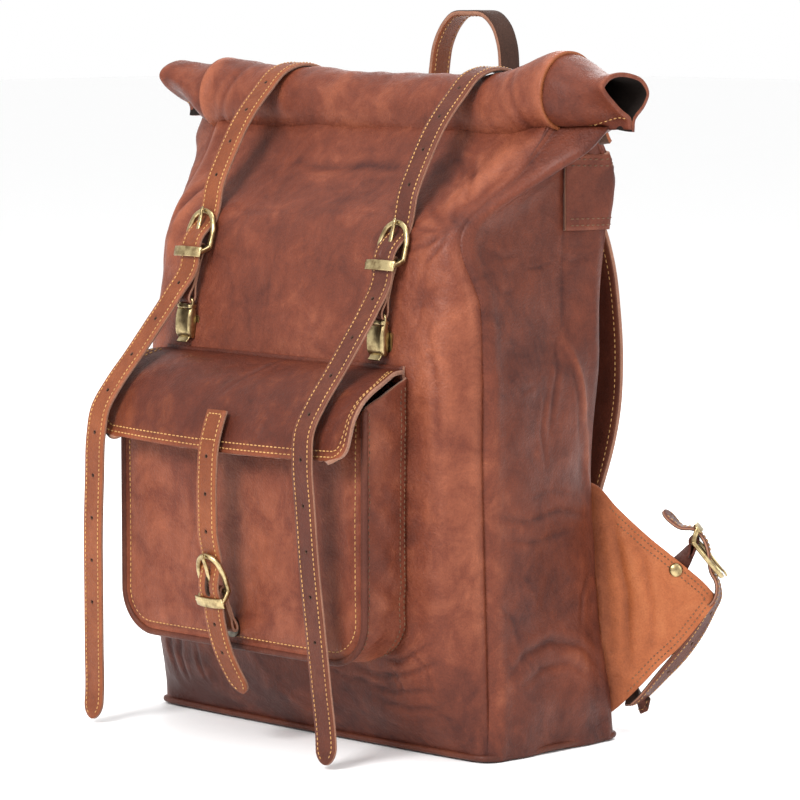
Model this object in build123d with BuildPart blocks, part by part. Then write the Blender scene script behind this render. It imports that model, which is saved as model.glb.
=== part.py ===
"""Roll-top leather backpack with a front pocket, buckled closure straps and side strap wings.

Millimetres. +Z is up, the front faces -Y and the back panel faces +Y. The origin is the centre of
the underside, so the pack stands on Z = 0.
"""

from build123d import *
from math import atan2, cos, pi, sin
import os

os.makedirs("parts", exist_ok=True)

# ---- driving dimensions -------------------------------------------------------------------------
WALL = 3.0                # panel leather with its lining
STRAP_WIDTH = 19.0        # three-quarter-inch strap
STRAP_THICK = 3.0
CLEARANCE = 0.3           # between pieces that move past each other

ROLL_Y = 7.0              # centre of the rolled mouth
ROLL_Z = 439.0
ROLL_R = 27.0             # outer lap
ROLL_STEP = 5.0           # radius lost in each half lap
ROLL_HALF = 221.0
ROLL_SEAM = 170.0         # where the front leather meets the gusset leather

POCKET_HALF = 122.0
POCKET_FRONT = -141.0
POCKET_LOW = 70.0
POCKET_HIGH = 244.0
POCKET_CORNER = 30.0
POCKET_WALL = 2.5

FLAP_HALF = 127.0
FLAP_THICK = 3.0
FLAP_LINE = [(-104.0, 268.0), (-128.0, 263.0), (-150.0, 246.0), (-161.0, 214.0)]   # y, z

CLOSURE_X = 97.0

BAR_R = 1.8               # buckle bar that the prong turns on
BORE_R = 1.87             # prong eye on that bar
FRAME_R = 2.0             # buckle frame wire
FRAME_INNER = 10.2        # half the clear width inside a buckle frame
WRAP_R = 3.8              # leather turned round a buckle bar
PRONG_EYE_R = 3.3
KEEPER_AT = (-5.0, 8.6)   # keeper bar, along and in front of the pin bar
KEEPER_TALL = 7.5
KEEPER_THICK = 2.2
CHAPE_WIDTH = 16.0
CHAPE_THICK = 4.0         # two layers

# Bag cross-sections: height, front corner x and y, front shoulder x and y, front centre y,
# gusset crease x, back corner x and y.
LEVELS = [
    (0, 165, -65, 120, -66.5, -68, 166.5, 165, 65),
    (30, 165, -63, 122, -84, -88, 165.5, 162, 65),
    (70, 164, -63, 124, -95, -98, 163, 152, 65),
    (150, 163, -65, 126, -98, -101, 161, 142, 65),
    (210, 163, -67, 126, -98, -101, 161, 143, 65),
    (265, 163, -67, 125, -97, -100, 161, 149, 65),
    (310, 160, -66, 122, -91, -94, 151, 150, 65),
    (366, 147, -68, 118, -75, -78, 147, 156, 65),
    (400, 160, -30, 118, -36, -39, 154, 161, 62),
    (439, 172, 0, 118, -2, -4, 163, 166, 34),
]
BASE_THICK = 3.0
BOARD_THICK = 2.0
YOKE_LOW = 358.0
YOKE_HIGH = 411.0
YOKE_THICK = 2.2


# ---- helpers ------------------------------------------------------------------------------------
def save(piece, label):
    """Label one finished solid and write it."""
    piece.label = label
    export_step(piece, f"parts/{label}.step")


def save_pair(piece, label):
    """Write a right-hand piece and its mirror image."""
    save(piece, f"{label}_right")
    save(mirror(piece, about=Plane.YZ), f"{label}_left")


def level_at(z):
    """Bag cross-section at any height, between two rows of LEVELS."""
    for low, high in zip(LEVELS, LEVELS[1:]):
        if z <= high[0]:
            break
    share = (z - low[0]) / (high[0] - low[0])
    return [a + (b - a) * share for a, b in zip(low, high)][1:]


def corners_at(z, inset=0.0):
    """The right-hand outline points of the bag at height z, moved inwards by inset."""
    front_x, front_y, flat_x, flat_y, centre_y, gusset_x, back_x, back_y = level_at(z)
    crease = atan2((back_y - front_y) / 2, gusset_x - (front_x + back_x) / 2)
    return {
        "centre": (0.0, centre_y + inset),
        "flat": (flat_x, flat_y + inset),
        "front": (front_x - inset, front_y + inset),
        "crease": (gusset_x - inset / sin(crease), (front_y + back_y) / 2),
        "back": (back_x - inset, back_y - inset),
    }


def heights(low, high):
    """Section heights from low to high, with every row of LEVELS between them."""
    return [low] + [row[0] for row in LEVELS if low < row[0] < high] + [high]


def mirrored(points):
    """The same points on the left, in reverse order."""
    return [(-x, y) for x, y in reversed(points)]


def outline(z, inset=0.0):
    """Closed bag outline at height z."""
    c = corners_at(z, inset)
    right = [c["flat"], c["front"], c["crease"], c["back"]]
    return [c["centre"]] + right + mirrored(right)


def across_front(z, inset):
    """Front outline from the left corner to the right one."""
    c = corners_at(z, inset)
    right = [c["flat"], c["front"]]
    return mirrored(right) + [c["centre"]] + right


def front_strip(z):
    return across_front(z, 0.0) + list(reversed(across_front(z, WALL)))


def side_strip(z):
    outer, inner = corners_at(z), corners_at(z, WALL)
    names = ["front", "crease", "back"]
    return [outer[n] for n in names] + [inner[n] for n in reversed(names)]


def back_strip(z):
    outer, inner = corners_at(z)["back"], corners_at(z, WALL)["back"]
    return [(-outer[0], outer[1]), outer, inner, (-inner[0], inner[1])]


def ruled(shape_at, levels):
    """Solid through flat outlines, one at each height, joined by straight lines."""
    with BuildPart() as solid:
        for z in levels:
            with BuildSketch(Plane.XY.offset(z)):
                with BuildLine():
                    Polyline(*shape_at(z), close=True)
                make_face()
        loft(ruled=True)
    return solid.part


def strap(points, width, thickness, across=(1, 0, 0)):
    """Flat strap along a centre-line, its width lying along `across`."""
    centres = [Vector(*p) for p in points]
    side = Vector(*across)
    with BuildPart() as piece:
        for i, centre in enumerate(centres):
            run = centres[min(i + 1, len(centres) - 1)] - centres[max(i - 1, 0)]
            run = run - side * run.dot(side)
            with BuildSketch(Plane(origin=centre, x_dir=side, z_dir=run)):
                Rectangle(width, thickness)
        loft(ruled=True)
    return piece.part


def shell_cut(solid, cutters):
    """Solid with other solids taken away."""
    with BuildPart() as piece:
        add(solid)
        for cutter in cutters:
            add(cutter, mode=Mode.SUBTRACT)
    return piece.part


# ---- bag shell ----------------------------------------------------------------------------------
def roll_arcs(radius_loss, count, start_r):
    """Half laps of a two-centre spiral: list of (start, middle, end) points in Y, Z."""
    arcs = []
    y = ROLL_Y + ROLL_R - radius_loss
    side = -1
    for i in range(count):
        radius = start_r - i * ROLL_STEP
        middle = (y + side * radius, ROLL_Z - side * radius)
        arcs.append(((y, ROLL_Z), middle, (y + 2 * side * radius, ROLL_Z)))
        y += 2 * side * radius
        side = -side
    return arcs


def roll_length(low, high):
    """Rolled mouth between two X positions: one continuous spiral of leather."""
    laps = 4
    with BuildPart() as piece:
        with BuildSketch(Plane.YZ.offset(low)):
            with BuildLine():
                outer = roll_arcs(0, laps, ROLL_R)
                inner = roll_arcs(WALL, laps, ROLL_R - WALL)
                for start, middle, end in outer + inner:
                    ThreePointArc(start, middle, end)
                Line(outer[0][0], inner[0][0])
                Line(outer[-1][2], inner[-1][2])
            make_face()
        extrude(amount=high - low)
    return piece.part


def roll_envelope():
    """Everything inside the outer lap, to trim the panels that meet it."""
    first, second = roll_arcs(0, 2, ROLL_R)
    with BuildPart() as piece:
        with BuildSketch(Plane.YZ.offset(-ROLL_HALF - 5)):
            with BuildLine():
                ThreePointArc(*first)
                ThreePointArc(*second)
                Line(second[2], first[0])
            make_face()
        extrude(amount=2 * ROLL_HALF + 10)
    return piece.part


bag_outer = ruled(outline, heights(0, ROLL_Z))
rolled = roll_envelope()
panel_levels = heights(BASE_THICK, ROLL_Z)

save(shell_cut(ruled(front_strip, panel_levels), [rolled]), "front_panel")
save(shell_cut(ruled(back_strip, panel_levels), [rolled]), "back_panel")
save_pair(shell_cut(ruled(side_strip, panel_levels), [rolled]), "side_panel")
save(ruled(outline, [0, BASE_THICK]), "base_panel")
board_levels = [BASE_THICK, BASE_THICK + BOARD_THICK]
save(ruled(lambda z: outline(z, WALL + CLEARANCE), board_levels), "base_board")

WELT_R = 2.2
WELT_LOW = 1.0
WELT_HIGH = 6.0
welt_ring = ruled(lambda z: outline(WELT_LOW, -WELT_R), [WELT_LOW, WELT_HIGH])
save(shell_cut(welt_ring, [bag_outer]), "base_welt")

save(roll_length(-ROLL_SEAM, ROLL_SEAM), "roll_centre")
save_pair(roll_length(ROLL_SEAM, ROLL_HALF), "roll_end")

HEM_THICK = 1.6
HEM_HEIGHT = 9.0
with BuildPart() as mouth_hem:
    hem_y = ROLL_Y + 5.5
    with BuildSketch(Plane.XY.offset(ROLL_Z)):
        with Locations((0, hem_y)):
            Rectangle(2 * ROLL_SEAM - 20, HEM_THICK)
    extrude(amount=HEM_HEIGHT)
save(mouth_hem.part, "mouth_hem")


def yoke_outline(z):
    c = corners_at(z, -YOKE_THICK)
    right = [(c["crease"][0], 8.0), c["back"]]
    return right + mirrored(right)


yoke_solid = ruled(yoke_outline, heights(YOKE_LOW, YOKE_HIGH))
save(shell_cut(yoke_solid, [bag_outer]), "back_yoke")

# ---- front pocket -------------------------------------------------------------------------------
def pocket_face(half, low, high, corner):
    """Front-view outline of the pocket, square at the mouth and rounded at the base."""
    with BuildLine() as edge:
        FilletPolyline((-half, high), (-half, low), (half, low), (half, high), radius=corner)
        Line((-half, high), (half, high))
    return edge.line


def pocket_solid(half, low, high, corner, front, back):
    """The pocket outline carried from Y = front to Y = back."""
    with BuildPart() as piece:
        with BuildSketch(Plane.XZ.offset(-back)):
            with BuildLine():
                add(pocket_face(half, low, high, corner))
            make_face()
        extrude(amount=back - front)
    return piece.part


POCKET_BACK = -85.0
PIPE = 2.0
face_back = POCKET_FRONT + POCKET_WALL
front_plate = pocket_solid(POCKET_HALF, POCKET_LOW, POCKET_HIGH, POCKET_CORNER, POCKET_FRONT, face_back)
save(front_plate, "pocket_front")
gusset_outer = pocket_solid(POCKET_HALF, POCKET_LOW, POCKET_HIGH, POCKET_CORNER, face_back, POCKET_BACK)
gusset_inner = pocket_solid(POCKET_HALF - POCKET_WALL, POCKET_LOW + POCKET_WALL, POCKET_HIGH + 5,
                            POCKET_CORNER - POCKET_WALL, face_back - 1, POCKET_BACK + 1)
save(shell_cut(gusset_outer, [gusset_inner, bag_outer]), "pocket_gusset")
pipe_outer = pocket_solid(POCKET_HALF + PIPE, POCKET_LOW - PIPE, POCKET_HIGH, POCKET_CORNER + PIPE,
                          POCKET_FRONT, POCKET_FRONT + 2 * PIPE)
pipe_inner = pocket_solid(POCKET_HALF, POCKET_LOW, POCKET_HIGH + 5, POCKET_CORNER,
                          POCKET_FRONT - 1, POCKET_FRONT + 2 * PIPE + 1)
save(shell_cut(pipe_outer, [pipe_inner]), "pocket_piping")

STRAP_X = -4.0            # centre strap
SNAP_Z = 84.0
SNAP_R = 7.0
SNAP_THICK = 2.0
SNAP_GAP = 0.4


def disc(radius, low, high, x, z):
    """Round disc standing on the front of the pack, from Y = low to Y = high."""
    with BuildPart() as piece:
        with BuildSketch(Plane(origin=(x, high, z), x_dir=(1, 0, 0), z_dir=(0, -1, 0))):
            Circle(radius)
        extrude(amount=high - low)
    return piece.part


snap_face = POCKET_FRONT - SNAP_THICK
save(disc(SNAP_R, snap_face, POCKET_FRONT, STRAP_X, SNAP_Z), "magnet_base")


# ---- buckles ------------------------------------------------------------------------------------
def buckle_plane(heel, tip, axis=(1, 0, 0)):
    """Plane whose X runs from the heel bar to the tip bar and whose normal is the bar."""
    return Plane(origin=heel, x_dir=Vector(*tip) - Vector(*heel), z_dir=axis)


def buckle_frame(plane, reach):
    """Frame with a pin bar at the origin, a tip bar, and a flat keeper bar in front of the strap."""
    half = FRAME_INNER + 2 * FRAME_R
    keeper_u, keeper_v = KEEPER_AT
    lug = (keeper_u ** 2 + keeper_v ** 2) ** 0.5
    lean = atan2(keeper_v, keeper_u) * 180 / pi
    with BuildPart() as piece:
        with BuildSketch(plane.offset(-half)):
            with Locations((reach, 0)):
                Circle(FRAME_R)
            with Locations(KEEPER_AT):
                Rectangle(KEEPER_TALL, KEEPER_THICK)
        extrude(amount=2 * half)
        for low in (-half, FRAME_INNER):
            with BuildSketch(plane.offset(low)):
                with Locations((reach / 2, 0)):
                    SlotCenterToCenter(reach, 2 * FRAME_R)
                with Locations((keeper_u / 2, keeper_v / 2)):
                    SlotCenterToCenter(lug, 2 * FRAME_R, rotation=lean)
            extrude(amount=2 * FRAME_R)
        with BuildSketch(plane.offset(-half + FRAME_R)):
            Circle(BAR_R)
        extrude(amount=2 * (half - FRAME_R))
    return piece.part


PRONG_HALF = 1.8
PRONG_LIFT = FRAME_R + CLEARANCE


def prong(plane, reach):
    """Tongue with an eye that turns on the pin bar and rests over the tip bar."""
    with BuildPart() as piece:
        with BuildSketch(plane.offset(-PRONG_HALF)):
            with BuildLine():
                Polyline((0, 1.0), (reach, PRONG_LIFT), (reach + 3, PRONG_LIFT),
                         (reach + 3, PRONG_LIFT + 1.4), (reach, PRONG_LIFT + 2.2),
                         (0, PRONG_EYE_R - 0.1), close=True)
            make_face()
            Circle(PRONG_EYE_R)
            Circle(BORE_R, mode=Mode.SUBTRACT)
        extrude(amount=2 * PRONG_HALF)
    return piece.part


def strap_slot(plane):
    """Cutter for the punched slot that the prong comes through."""
    with BuildPart() as piece:
        with BuildSketch(plane.offset(-PRONG_HALF - 0.6)):
            with Locations((9.5, 1)):
                Rectangle(25, 24)
        extrude(amount=2 * (PRONG_HALF + 0.6))
    return piece.part


def chape(plane, far, far_wrap, far_bore):
    """Doubled leather tab from the pin bar to a second bar at `far` (plane coordinates)."""
    length = (far[0] ** 2 + far[1] ** 2) ** 0.5
    middle = (far[0] / 2, far[1] / 2)
    turn = atan2(far[1], far[0]) * 180 / pi
    with BuildPart() as piece:
        with BuildSketch(plane.offset(-CHAPE_WIDTH / 2)):
            Circle(WRAP_R)
            with Locations(middle):
                Rectangle(length, CHAPE_THICK, rotation=turn)
            with Locations(far):
                Circle(far_wrap)
            Circle(BAR_R, mode=Mode.SUBTRACT)
            if far_bore:
                with Locations(far):
                    Circle(far_bore, mode=Mode.SUBTRACT)
        extrude(amount=CHAPE_WIDTH)
        with BuildSketch(plane.offset(-PRONG_HALF - 0.6)):
            Circle(PRONG_EYE_R + 1.2)
        extrude(amount=2 * (PRONG_HALF + 0.6), mode=Mode.SUBTRACT)
    return piece.part


def lifted(plane, u, v):
    """World point at plane coordinates u, v."""
    return plane.from_local_coords(Vector(u, v, 0))


# ---- pocket flap with its strap and buckle ------------------------------------------------------
def offset_line(points, distance):
    """Polyline moved sideways by a distance, square to each corner's mean direction."""
    moved = []
    for i, (y, z) in enumerate(points):
        ahead = points[min(i + 1, len(points) - 1)]
        behind = points[max(i - 1, 0)]
        angle = atan2(ahead[1] - behind[1], ahead[0] - behind[0])
        moved.append((y + distance * sin(angle), z - distance * cos(angle)))
    return moved


flap_inside = offset_line(FLAP_LINE, -FLAP_THICK)
with BuildPart() as pocket_flap:
    with BuildSketch(Plane.YZ.offset(-FLAP_HALF)):
        with BuildLine():
            Polyline(*FLAP_LINE, *reversed(flap_inside), close=True)
        make_face()
    extrude(amount=2 * FLAP_HALF)
save(pocket_flap.part, "pocket_flap")

pocket_heel = (STRAP_X, -159.4, 111.5)
pocket_tip = (STRAP_X, -168.6, 136.0)
pocket_plane = buckle_plane(pocket_heel, pocket_tip)
POCKET_REACH = (Vector(*pocket_tip) - Vector(*pocket_heel)).length
pocket_v = pocket_plane.y_dir
STRAP_OVER = WRAP_R + 0.4 + STRAP_THICK / 2      # strap centre in front of the pin bar
STRAP_UNDER = -(FRAME_R + 0.2 + STRAP_THICK / 2)   # strap centre behind the tip bar
save(buckle_frame(pocket_plane, POCKET_REACH), "pocket_buckle")
save(prong(pocket_plane, POCKET_REACH), "pocket_prong")

drop_start = offset_line(FLAP_LINE, STRAP_THICK / 2)[2]
drop_edge = offset_line(FLAP_LINE, STRAP_THICK / 2)[3]
heel_point = lifted(pocket_plane, 0, STRAP_OVER)
tip_point = lifted(pocket_plane, POCKET_REACH, STRAP_UNDER)
keeper_point = lifted(pocket_plane, KEEPER_AT[0] - 2, STRAP_OVER)
flap_strap_line = [
    (STRAP_X, drop_start[0] - 0.5, drop_start[1] - 4),
    (STRAP_X, drop_edge[0] - 0.6, drop_edge[1]),
    (STRAP_X, -166.5, 190.0),
    (STRAP_X, -167.0, 162.0),
    tuple(tip_point),
    tuple(heel_point),
    tuple(keeper_point),
    (STRAP_X + 1, -155.0, 72.0),
    (STRAP_X + 4, -146.5, 52.0),
    (STRAP_X + 6, -137.0, 37.0),
]
flap_strap = strap(flap_strap_line, STRAP_WIDTH, STRAP_THICK)
save(shell_cut(flap_strap, [strap_slot(pocket_plane), pocket_flap.part]), "flap_strap")

cap_front = snap_face - SNAP_GAP - SNAP_THICK
magnet_cap = disc(SNAP_R, cap_front, cap_front + SNAP_THICK, STRAP_X, SNAP_Z)
save(magnet_cap, "magnet_cap")
CHAPE_END_R = 3.0
cap_bar = pocket_plane.to_local_coords(Vector(STRAP_X, cap_front - CHAPE_END_R + 0.5, SNAP_Z))
pocket_chape = chape(pocket_plane, (cap_bar.X, cap_bar.Y), CHAPE_END_R, 0)
save(shell_cut(pocket_chape, [magnet_cap]), "pocket_chape")

# flap seam: the strip that the flap folds from, sewn across the front panel
with BuildPart() as flap_seam:
    with BuildSketch(Plane.YZ.offset(-FLAP_HALF + 2)):
        with BuildLine():
            Polyline((-102.3, 262.0), (-102.3, 273.0), (-92.0, 273.0), (-92.0, 262.0), close=True)
        make_face()
    extrude(amount=2 * FLAP_HALF - 4)
    add(bag_outer, mode=Mode.SUBTRACT)
save(flap_seam.part, "flap_seam")

# ---- closure straps -----------------------------------------------------------------------------
def back_patch(width, x, low, high, face):
    """Reinforcing patch on the yoke, its outer face at Y = face."""
    with BuildPart() as piece:
        with BuildSketch(Plane.XZ.offset(-face)):
            with Locations((x, (low + high) / 2)):
                Rectangle(width, high - low)
        extrude(amount=14)
        add(bag_outer, mode=Mode.SUBTRACT)
        add(yoke_solid, mode=Mode.SUBTRACT)
    return piece.part


closure_heel = (CLOSURE_X, -91.1, 340.5)
closure_tip = (CLOSURE_X, -83.8, 366.0)
closure_plane = buckle_plane(closure_heel, closure_tip)
CLOSURE_REACH = (Vector(*closure_tip) - Vector(*closure_heel)).length
save_pair(buckle_frame(closure_plane, CLOSURE_REACH), "closure_buckle")
save_pair(prong(closure_plane, CLOSURE_REACH), "closure_prong")

over = lifted(closure_plane, 0, STRAP_OVER)
under = lifted(closure_plane, CLOSURE_REACH, STRAP_UNDER)
kept = lifted(closure_plane, KEEPER_AT[0] - 3, STRAP_OVER)
CLOSURE_HINGE_Y = 68.6    # the strap turns where it leaves its patch
CLOSURE_HINGE_Z = 405.0
closure_line = [
    (CLOSURE_X, CLOSURE_HINGE_Y, CLOSURE_HINGE_Z),
    (CLOSURE_X, 66.5, 421.0),
    (CLOSURE_X, 56.0, 438.0),
    (CLOSURE_X, 38.5, 455.5),
    (CLOSURE_X, 21.0, 466.5),
    (CLOSURE_X, 5.0, 468.6),
    (CLOSURE_X, -13.0, 463.5),
    (CLOSURE_X, -28.0, 450.5),
    (CLOSURE_X, -46.0, 432.0),
    (CLOSURE_X, -63.0, 406.0),
    (CLOSURE_X, -74.0, 383.0),
    tuple(under),
    tuple(over),
    tuple(kept),
]
closure_strap = strap(closure_line, STRAP_WIDTH, STRAP_THICK)
save_pair(shell_cut(closure_strap, [strap_slot(closure_plane)]), "closure_strap")

PATCH_TOP = 402.5
save_pair(back_patch(STRAP_WIDTH + 2, CLOSURE_X, 370.5, PATCH_TOP, 67.6 + 1.2), "closure_patch")

# clip: sheet-metal channel with a strap loop on top, a cross pin and a thumb lever
CLIP_HALF = 7.0
CLIP_SHEET = 1.2
CLIP_BAR_R = 1.4
CLIP_PIN_R = 1.2
CLIP_PIN_BORE = 1.26
CLIP_EYE_R = 2.3
clip_top = (CLOSURE_X, -101.6, 304.0)
clip_pin_at = (CLOSURE_X, -102.2, 288.0)
clip_plane = Plane(origin=clip_pin_at, x_dir=Vector(*clip_top) - Vector(*clip_pin_at), z_dir=(1, 0, 0))
CLIP_RISE = (Vector(*clip_top) - Vector(*clip_pin_at)).length
CLIP_FRONT = 3.8
CLIP_BACK = -3.0
CLIP_LOW = -11.0

with BuildPart() as clip_body:
    for low in (-CLIP_HALF, CLIP_HALF - CLIP_SHEET):
        with BuildSketch(clip_plane.offset(low)):
            with BuildLine():
                Polyline((CLIP_RISE + 2, -2.2), (CLIP_RISE + 2, 2.2), (8, CLIP_FRONT), (-4, CLIP_FRONT),
                         (CLIP_LOW, CLIP_FRONT - 2.6), (CLIP_LOW, CLIP_BACK + 0.8), (8, CLIP_BACK),
                         close=True)
            make_face()
            Circle(CLIP_PIN_R, mode=Mode.SUBTRACT)
        extrude(amount=CLIP_SHEET)
    with BuildSketch(clip_plane.offset(-CLIP_HALF)):
        with Locations((CLIP_RISE, 0)):
            Circle(CLIP_BAR_R)
        with Locations((2, CLIP_FRONT - CLIP_SHEET / 2)):
            Rectangle(12, CLIP_SHEET)
    extrude(amount=2 * CLIP_HALF)
save_pair(clip_body.part, "clip_body")

with BuildPart() as clip_pin:
    with BuildSketch(clip_plane.offset(-CLIP_HALF)):
        Circle(CLIP_PIN_R)
    extrude(amount=2 * CLIP_HALF)
save_pair(clip_pin.part, "clip_pin")

LEVER_HALF = CLIP_HALF - CLIP_SHEET - CLEARANCE
with BuildPart() as clip_lever:
    with BuildSketch(clip_plane.offset(-LEVER_HALF)):
        Circle(CLIP_EYE_R)
        with BuildLine():
            Polyline((0, 0.6), (-8.5, 0.4), (-14.0, 4.2), (-15.2, 3.2), (-9.0, -1.0), (0, -1.0), close=True)
        make_face()
        Circle(CLIP_PIN_BORE, mode=Mode.SUBTRACT)
    extrude(amount=2 * LEVER_HALF)
save_pair(clip_lever.part, "clip_lever")

CHAPE_FAR_WRAP = 3.0
far_bar = closure_plane.to_local_coords(Vector(*clip_top))
with BuildPart() as closure_chape:
    add(chape(closure_plane, (far_bar.X, far_bar.Y), CHAPE_FAR_WRAP, CLIP_BAR_R))
    for low in (-CHAPE_WIDTH / 2 - 1, CLIP_HALF - CLIP_SHEET - CLEARANCE):
        with BuildSketch(clip_plane.offset(low)):
            with Locations((CLIP_RISE - 3, 0)):
                Rectangle(12, 14)
        extrude(amount=CHAPE_WIDTH / 2 + 1 - LEVER_HALF, mode=Mode.SUBTRACT)
save_pair(closure_chape.part, "closure_chape")

# anchor lug on the front panel that the clip closes over
LUG_HALF = 3.5
with BuildPart() as clip_anchor:
    with BuildSketch(Plane.XZ.offset(90)):
        with Locations((CLOSURE_X, 286)):
            RectangleRounded(18, 14, 3)
    extrude(amount=8.5)
    with BuildSketch(Plane.XZ.offset(90)):
        with Locations((CLOSURE_X, 294.5)):
            Rectangle(2 * LUG_HALF, 3)
    extrude(amount=9)
    add(bag_outer, mode=Mode.SUBTRACT)
save_pair(clip_anchor.part, "clip_anchor")

# hanging tails
tail_start = lifted(closure_plane, KEEPER_AT[0] - 5.5, STRAP_OVER)
TAIL_DRAPE = [
    (-111.0, 306.0), (-124.0, 288.0), (-140.0, 266.5), (-155.0, 247.5), (-165.5, 229.0), (-168.0, 210.0),
    (-167.0, 180.0), (-165.0, 140.0), (-161.5, 100.0), (-157.5, 55.0), (-154.5, 22.0), (-157.0, 7.0),
]
for side, lean in ((1, (-7, 3)), (-1, (21, 44))):
    spread = []
    for y, z in TAIL_DRAPE:
        drop = (tail_start.Z - z) / (tail_start.Z - 229.0)
        if drop < 1:
            shift = lean[0] * drop
        else:
            shift = lean[0] + (lean[1] - lean[0]) * (229.0 - z) / 222.0
        spread.append((side * (CLOSURE_X + shift), y, z))
    tail_points = [(side * CLOSURE_X, tail_start.Y, tail_start.Z)] + spread
    save(strap(tail_points, STRAP_WIDTH, STRAP_THICK), "tail_right" if side > 0 else "tail_left")

# ---- grab handle --------------------------------------------------------------------------------
HANDLE_HALF = 37.0
HANDLE_TOP = 508.0
HANDLE_FOOT = 405.0
HANDLE_X = 7.0            # it sits a little to the right
HANDLE_Y = 80.0
HANDLE_THICK = 4.0
handle_half_in = HANDLE_HALF - HANDLE_THICK
with BuildPart() as handle_strap:
    with BuildSketch(Plane.XZ.offset(-HANDLE_Y)):
        for half, top in ((HANDLE_HALF, HANDLE_TOP), (handle_half_in, HANDLE_TOP - HANDLE_THICK)):
            left, right = HANDLE_X - half, HANDLE_X + half
            with BuildLine():
                FilletPolyline((left, HANDLE_FOOT), (left, top), (right, top), (right, HANDLE_FOOT),
                               radius=half - 4)
                Line((left, HANDLE_FOOT), (right, HANDLE_FOOT))
            make_face(mode=Mode.ADD if half == HANDLE_HALF else Mode.SUBTRACT)
    extrude(amount=STRAP_WIDTH / 2, both=True)
save(handle_strap.part, "handle_strap")

# ---- shoulder straps ----------------------------------------------------------------------------
shoulder_line = [
    (69, 70.1, 390.0), (74, 81.0, 391.0), (90, 92.0, 371.0), (104, 100.0, 330.0), (111, 102.0, 285.0),
    (115, 97.0, 240.0), (118, 88.0, 200.0), (120, 80.0, 172.0),
]
save_pair(strap(shoulder_line, 46.0, 7.0), "shoulder_strap")
save(back_patch(2 * 86, 0, 366, PATCH_TOP + 0.5, 69.6), "strap_patch")

# ---- side wings with their buckles --------------------------------------------------------------
WING_THICK = 3.5
wing_low = Vector(164.0, 67.6, 22.0)
wing_high = Vector(143.0, 67.6, 178.0)
wing_apex = Vector(212.0, 114.0, 104.0)
wing_up = (wing_high - wing_low).normalized()
wing_root = (wing_low + wing_high) / 2
wing_out = wing_apex - wing_root
wing_out = (wing_out - wing_up * wing_out.dot(wing_up)).normalized()
wing_plane = Plane(origin=wing_root, x_dir=wing_out, z_dir=wing_out.cross(wing_up))
WING_ROOT_GAP = 2.5
apex_local = wing_plane.to_local_coords(wing_apex)
half_root = (wing_high - wing_low).length / 2
WING_RIVET = (50.0, 14.0)      # along the wing and up it
RIVET_R = 5.0
RIVET_SHANK_R = 1.6
RIVET_CAP = 1.8
TAB_THICK = 2.5
with BuildPart() as wing:
    with BuildSketch(wing_plane.offset(-WING_THICK / 2)):
        with BuildLine():
            Polyline((WING_ROOT_GAP, -half_root), (apex_local.X, apex_local.Y - 5),
                     (apex_local.X, apex_local.Y + 5), (WING_ROOT_GAP, half_root), close=True)
        make_face()
        with Locations(WING_RIVET):
            Circle(RIVET_SHANK_R, mode=Mode.SUBTRACT)
    extrude(amount=WING_THICK)
save_pair(wing.part, "wing")

with BuildPart() as wing_rivet:
    with BuildSketch(wing_plane.offset(WING_THICK / 2)):
        with Locations(WING_RIVET):
            Circle(RIVET_R)
    extrude(amount=RIVET_CAP, taper=25)
    with BuildSketch(wing_plane.offset(WING_THICK / 2)):
        with Locations(WING_RIVET):
            Circle(RIVET_SHANK_R)
    extrude(amount=-(WING_THICK + TAB_THICK))
    with BuildSketch(wing_plane.offset(-WING_THICK / 2 - TAB_THICK)):
        with Locations(WING_RIVET):
            Circle(RIVET_R - 1)
    extrude(amount=-1.2)
save_pair(wing_rivet.part, "wing_rivet")

wing_heel = wing_plane.from_local_coords(Vector(64, 33, 0))
wing_tip = wing_plane.from_local_coords(Vector(81, 7, 0))
wing_buckle_plane = Plane(origin=wing_heel, x_dir=wing_tip - wing_heel, z_dir=wing_plane.z_dir)
WING_REACH = (wing_tip - wing_heel).length
save_pair(buckle_frame(wing_buckle_plane, WING_REACH), "wing_buckle")
save_pair(prong(wing_buckle_plane, WING_REACH), "wing_prong")

# tab riveted behind the wing, its end turned round the pin bar
with BuildPart() as wing_chape:
    with BuildSketch(wing_plane.offset(-WING_THICK / 2 - TAB_THICK)):
        with BuildLine():
            Polyline((43, 8), (51, 6), (59, 15), (65, 27), (60, 33), (52, 25), (43, 17), close=True)
        make_face()
        with Locations(WING_RIVET):
            Circle(RIVET_SHANK_R, mode=Mode.SUBTRACT)
    extrude(amount=TAB_THICK)
    with BuildSketch(wing_buckle_plane.offset(-CHAPE_WIDTH / 2)):
        Circle(WRAP_R)
        with Locations((1, -5)):
            Rectangle(CHAPE_THICK, 10)
    extrude(amount=CHAPE_WIDTH)
    with BuildSketch(wing_buckle_plane.offset(-CHAPE_WIDTH / 2)):
        Circle(BAR_R)
    extrude(amount=CHAPE_WIDTH, mode=Mode.SUBTRACT)
    with BuildSketch(wing_buckle_plane.offset(-PRONG_HALF - 0.6)):
        Circle(PRONG_EYE_R + 1.2)
    extrude(amount=2 * PRONG_HALF + 1.2, mode=Mode.SUBTRACT)
save_pair(wing_chape.part, "wing_chape")

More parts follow.
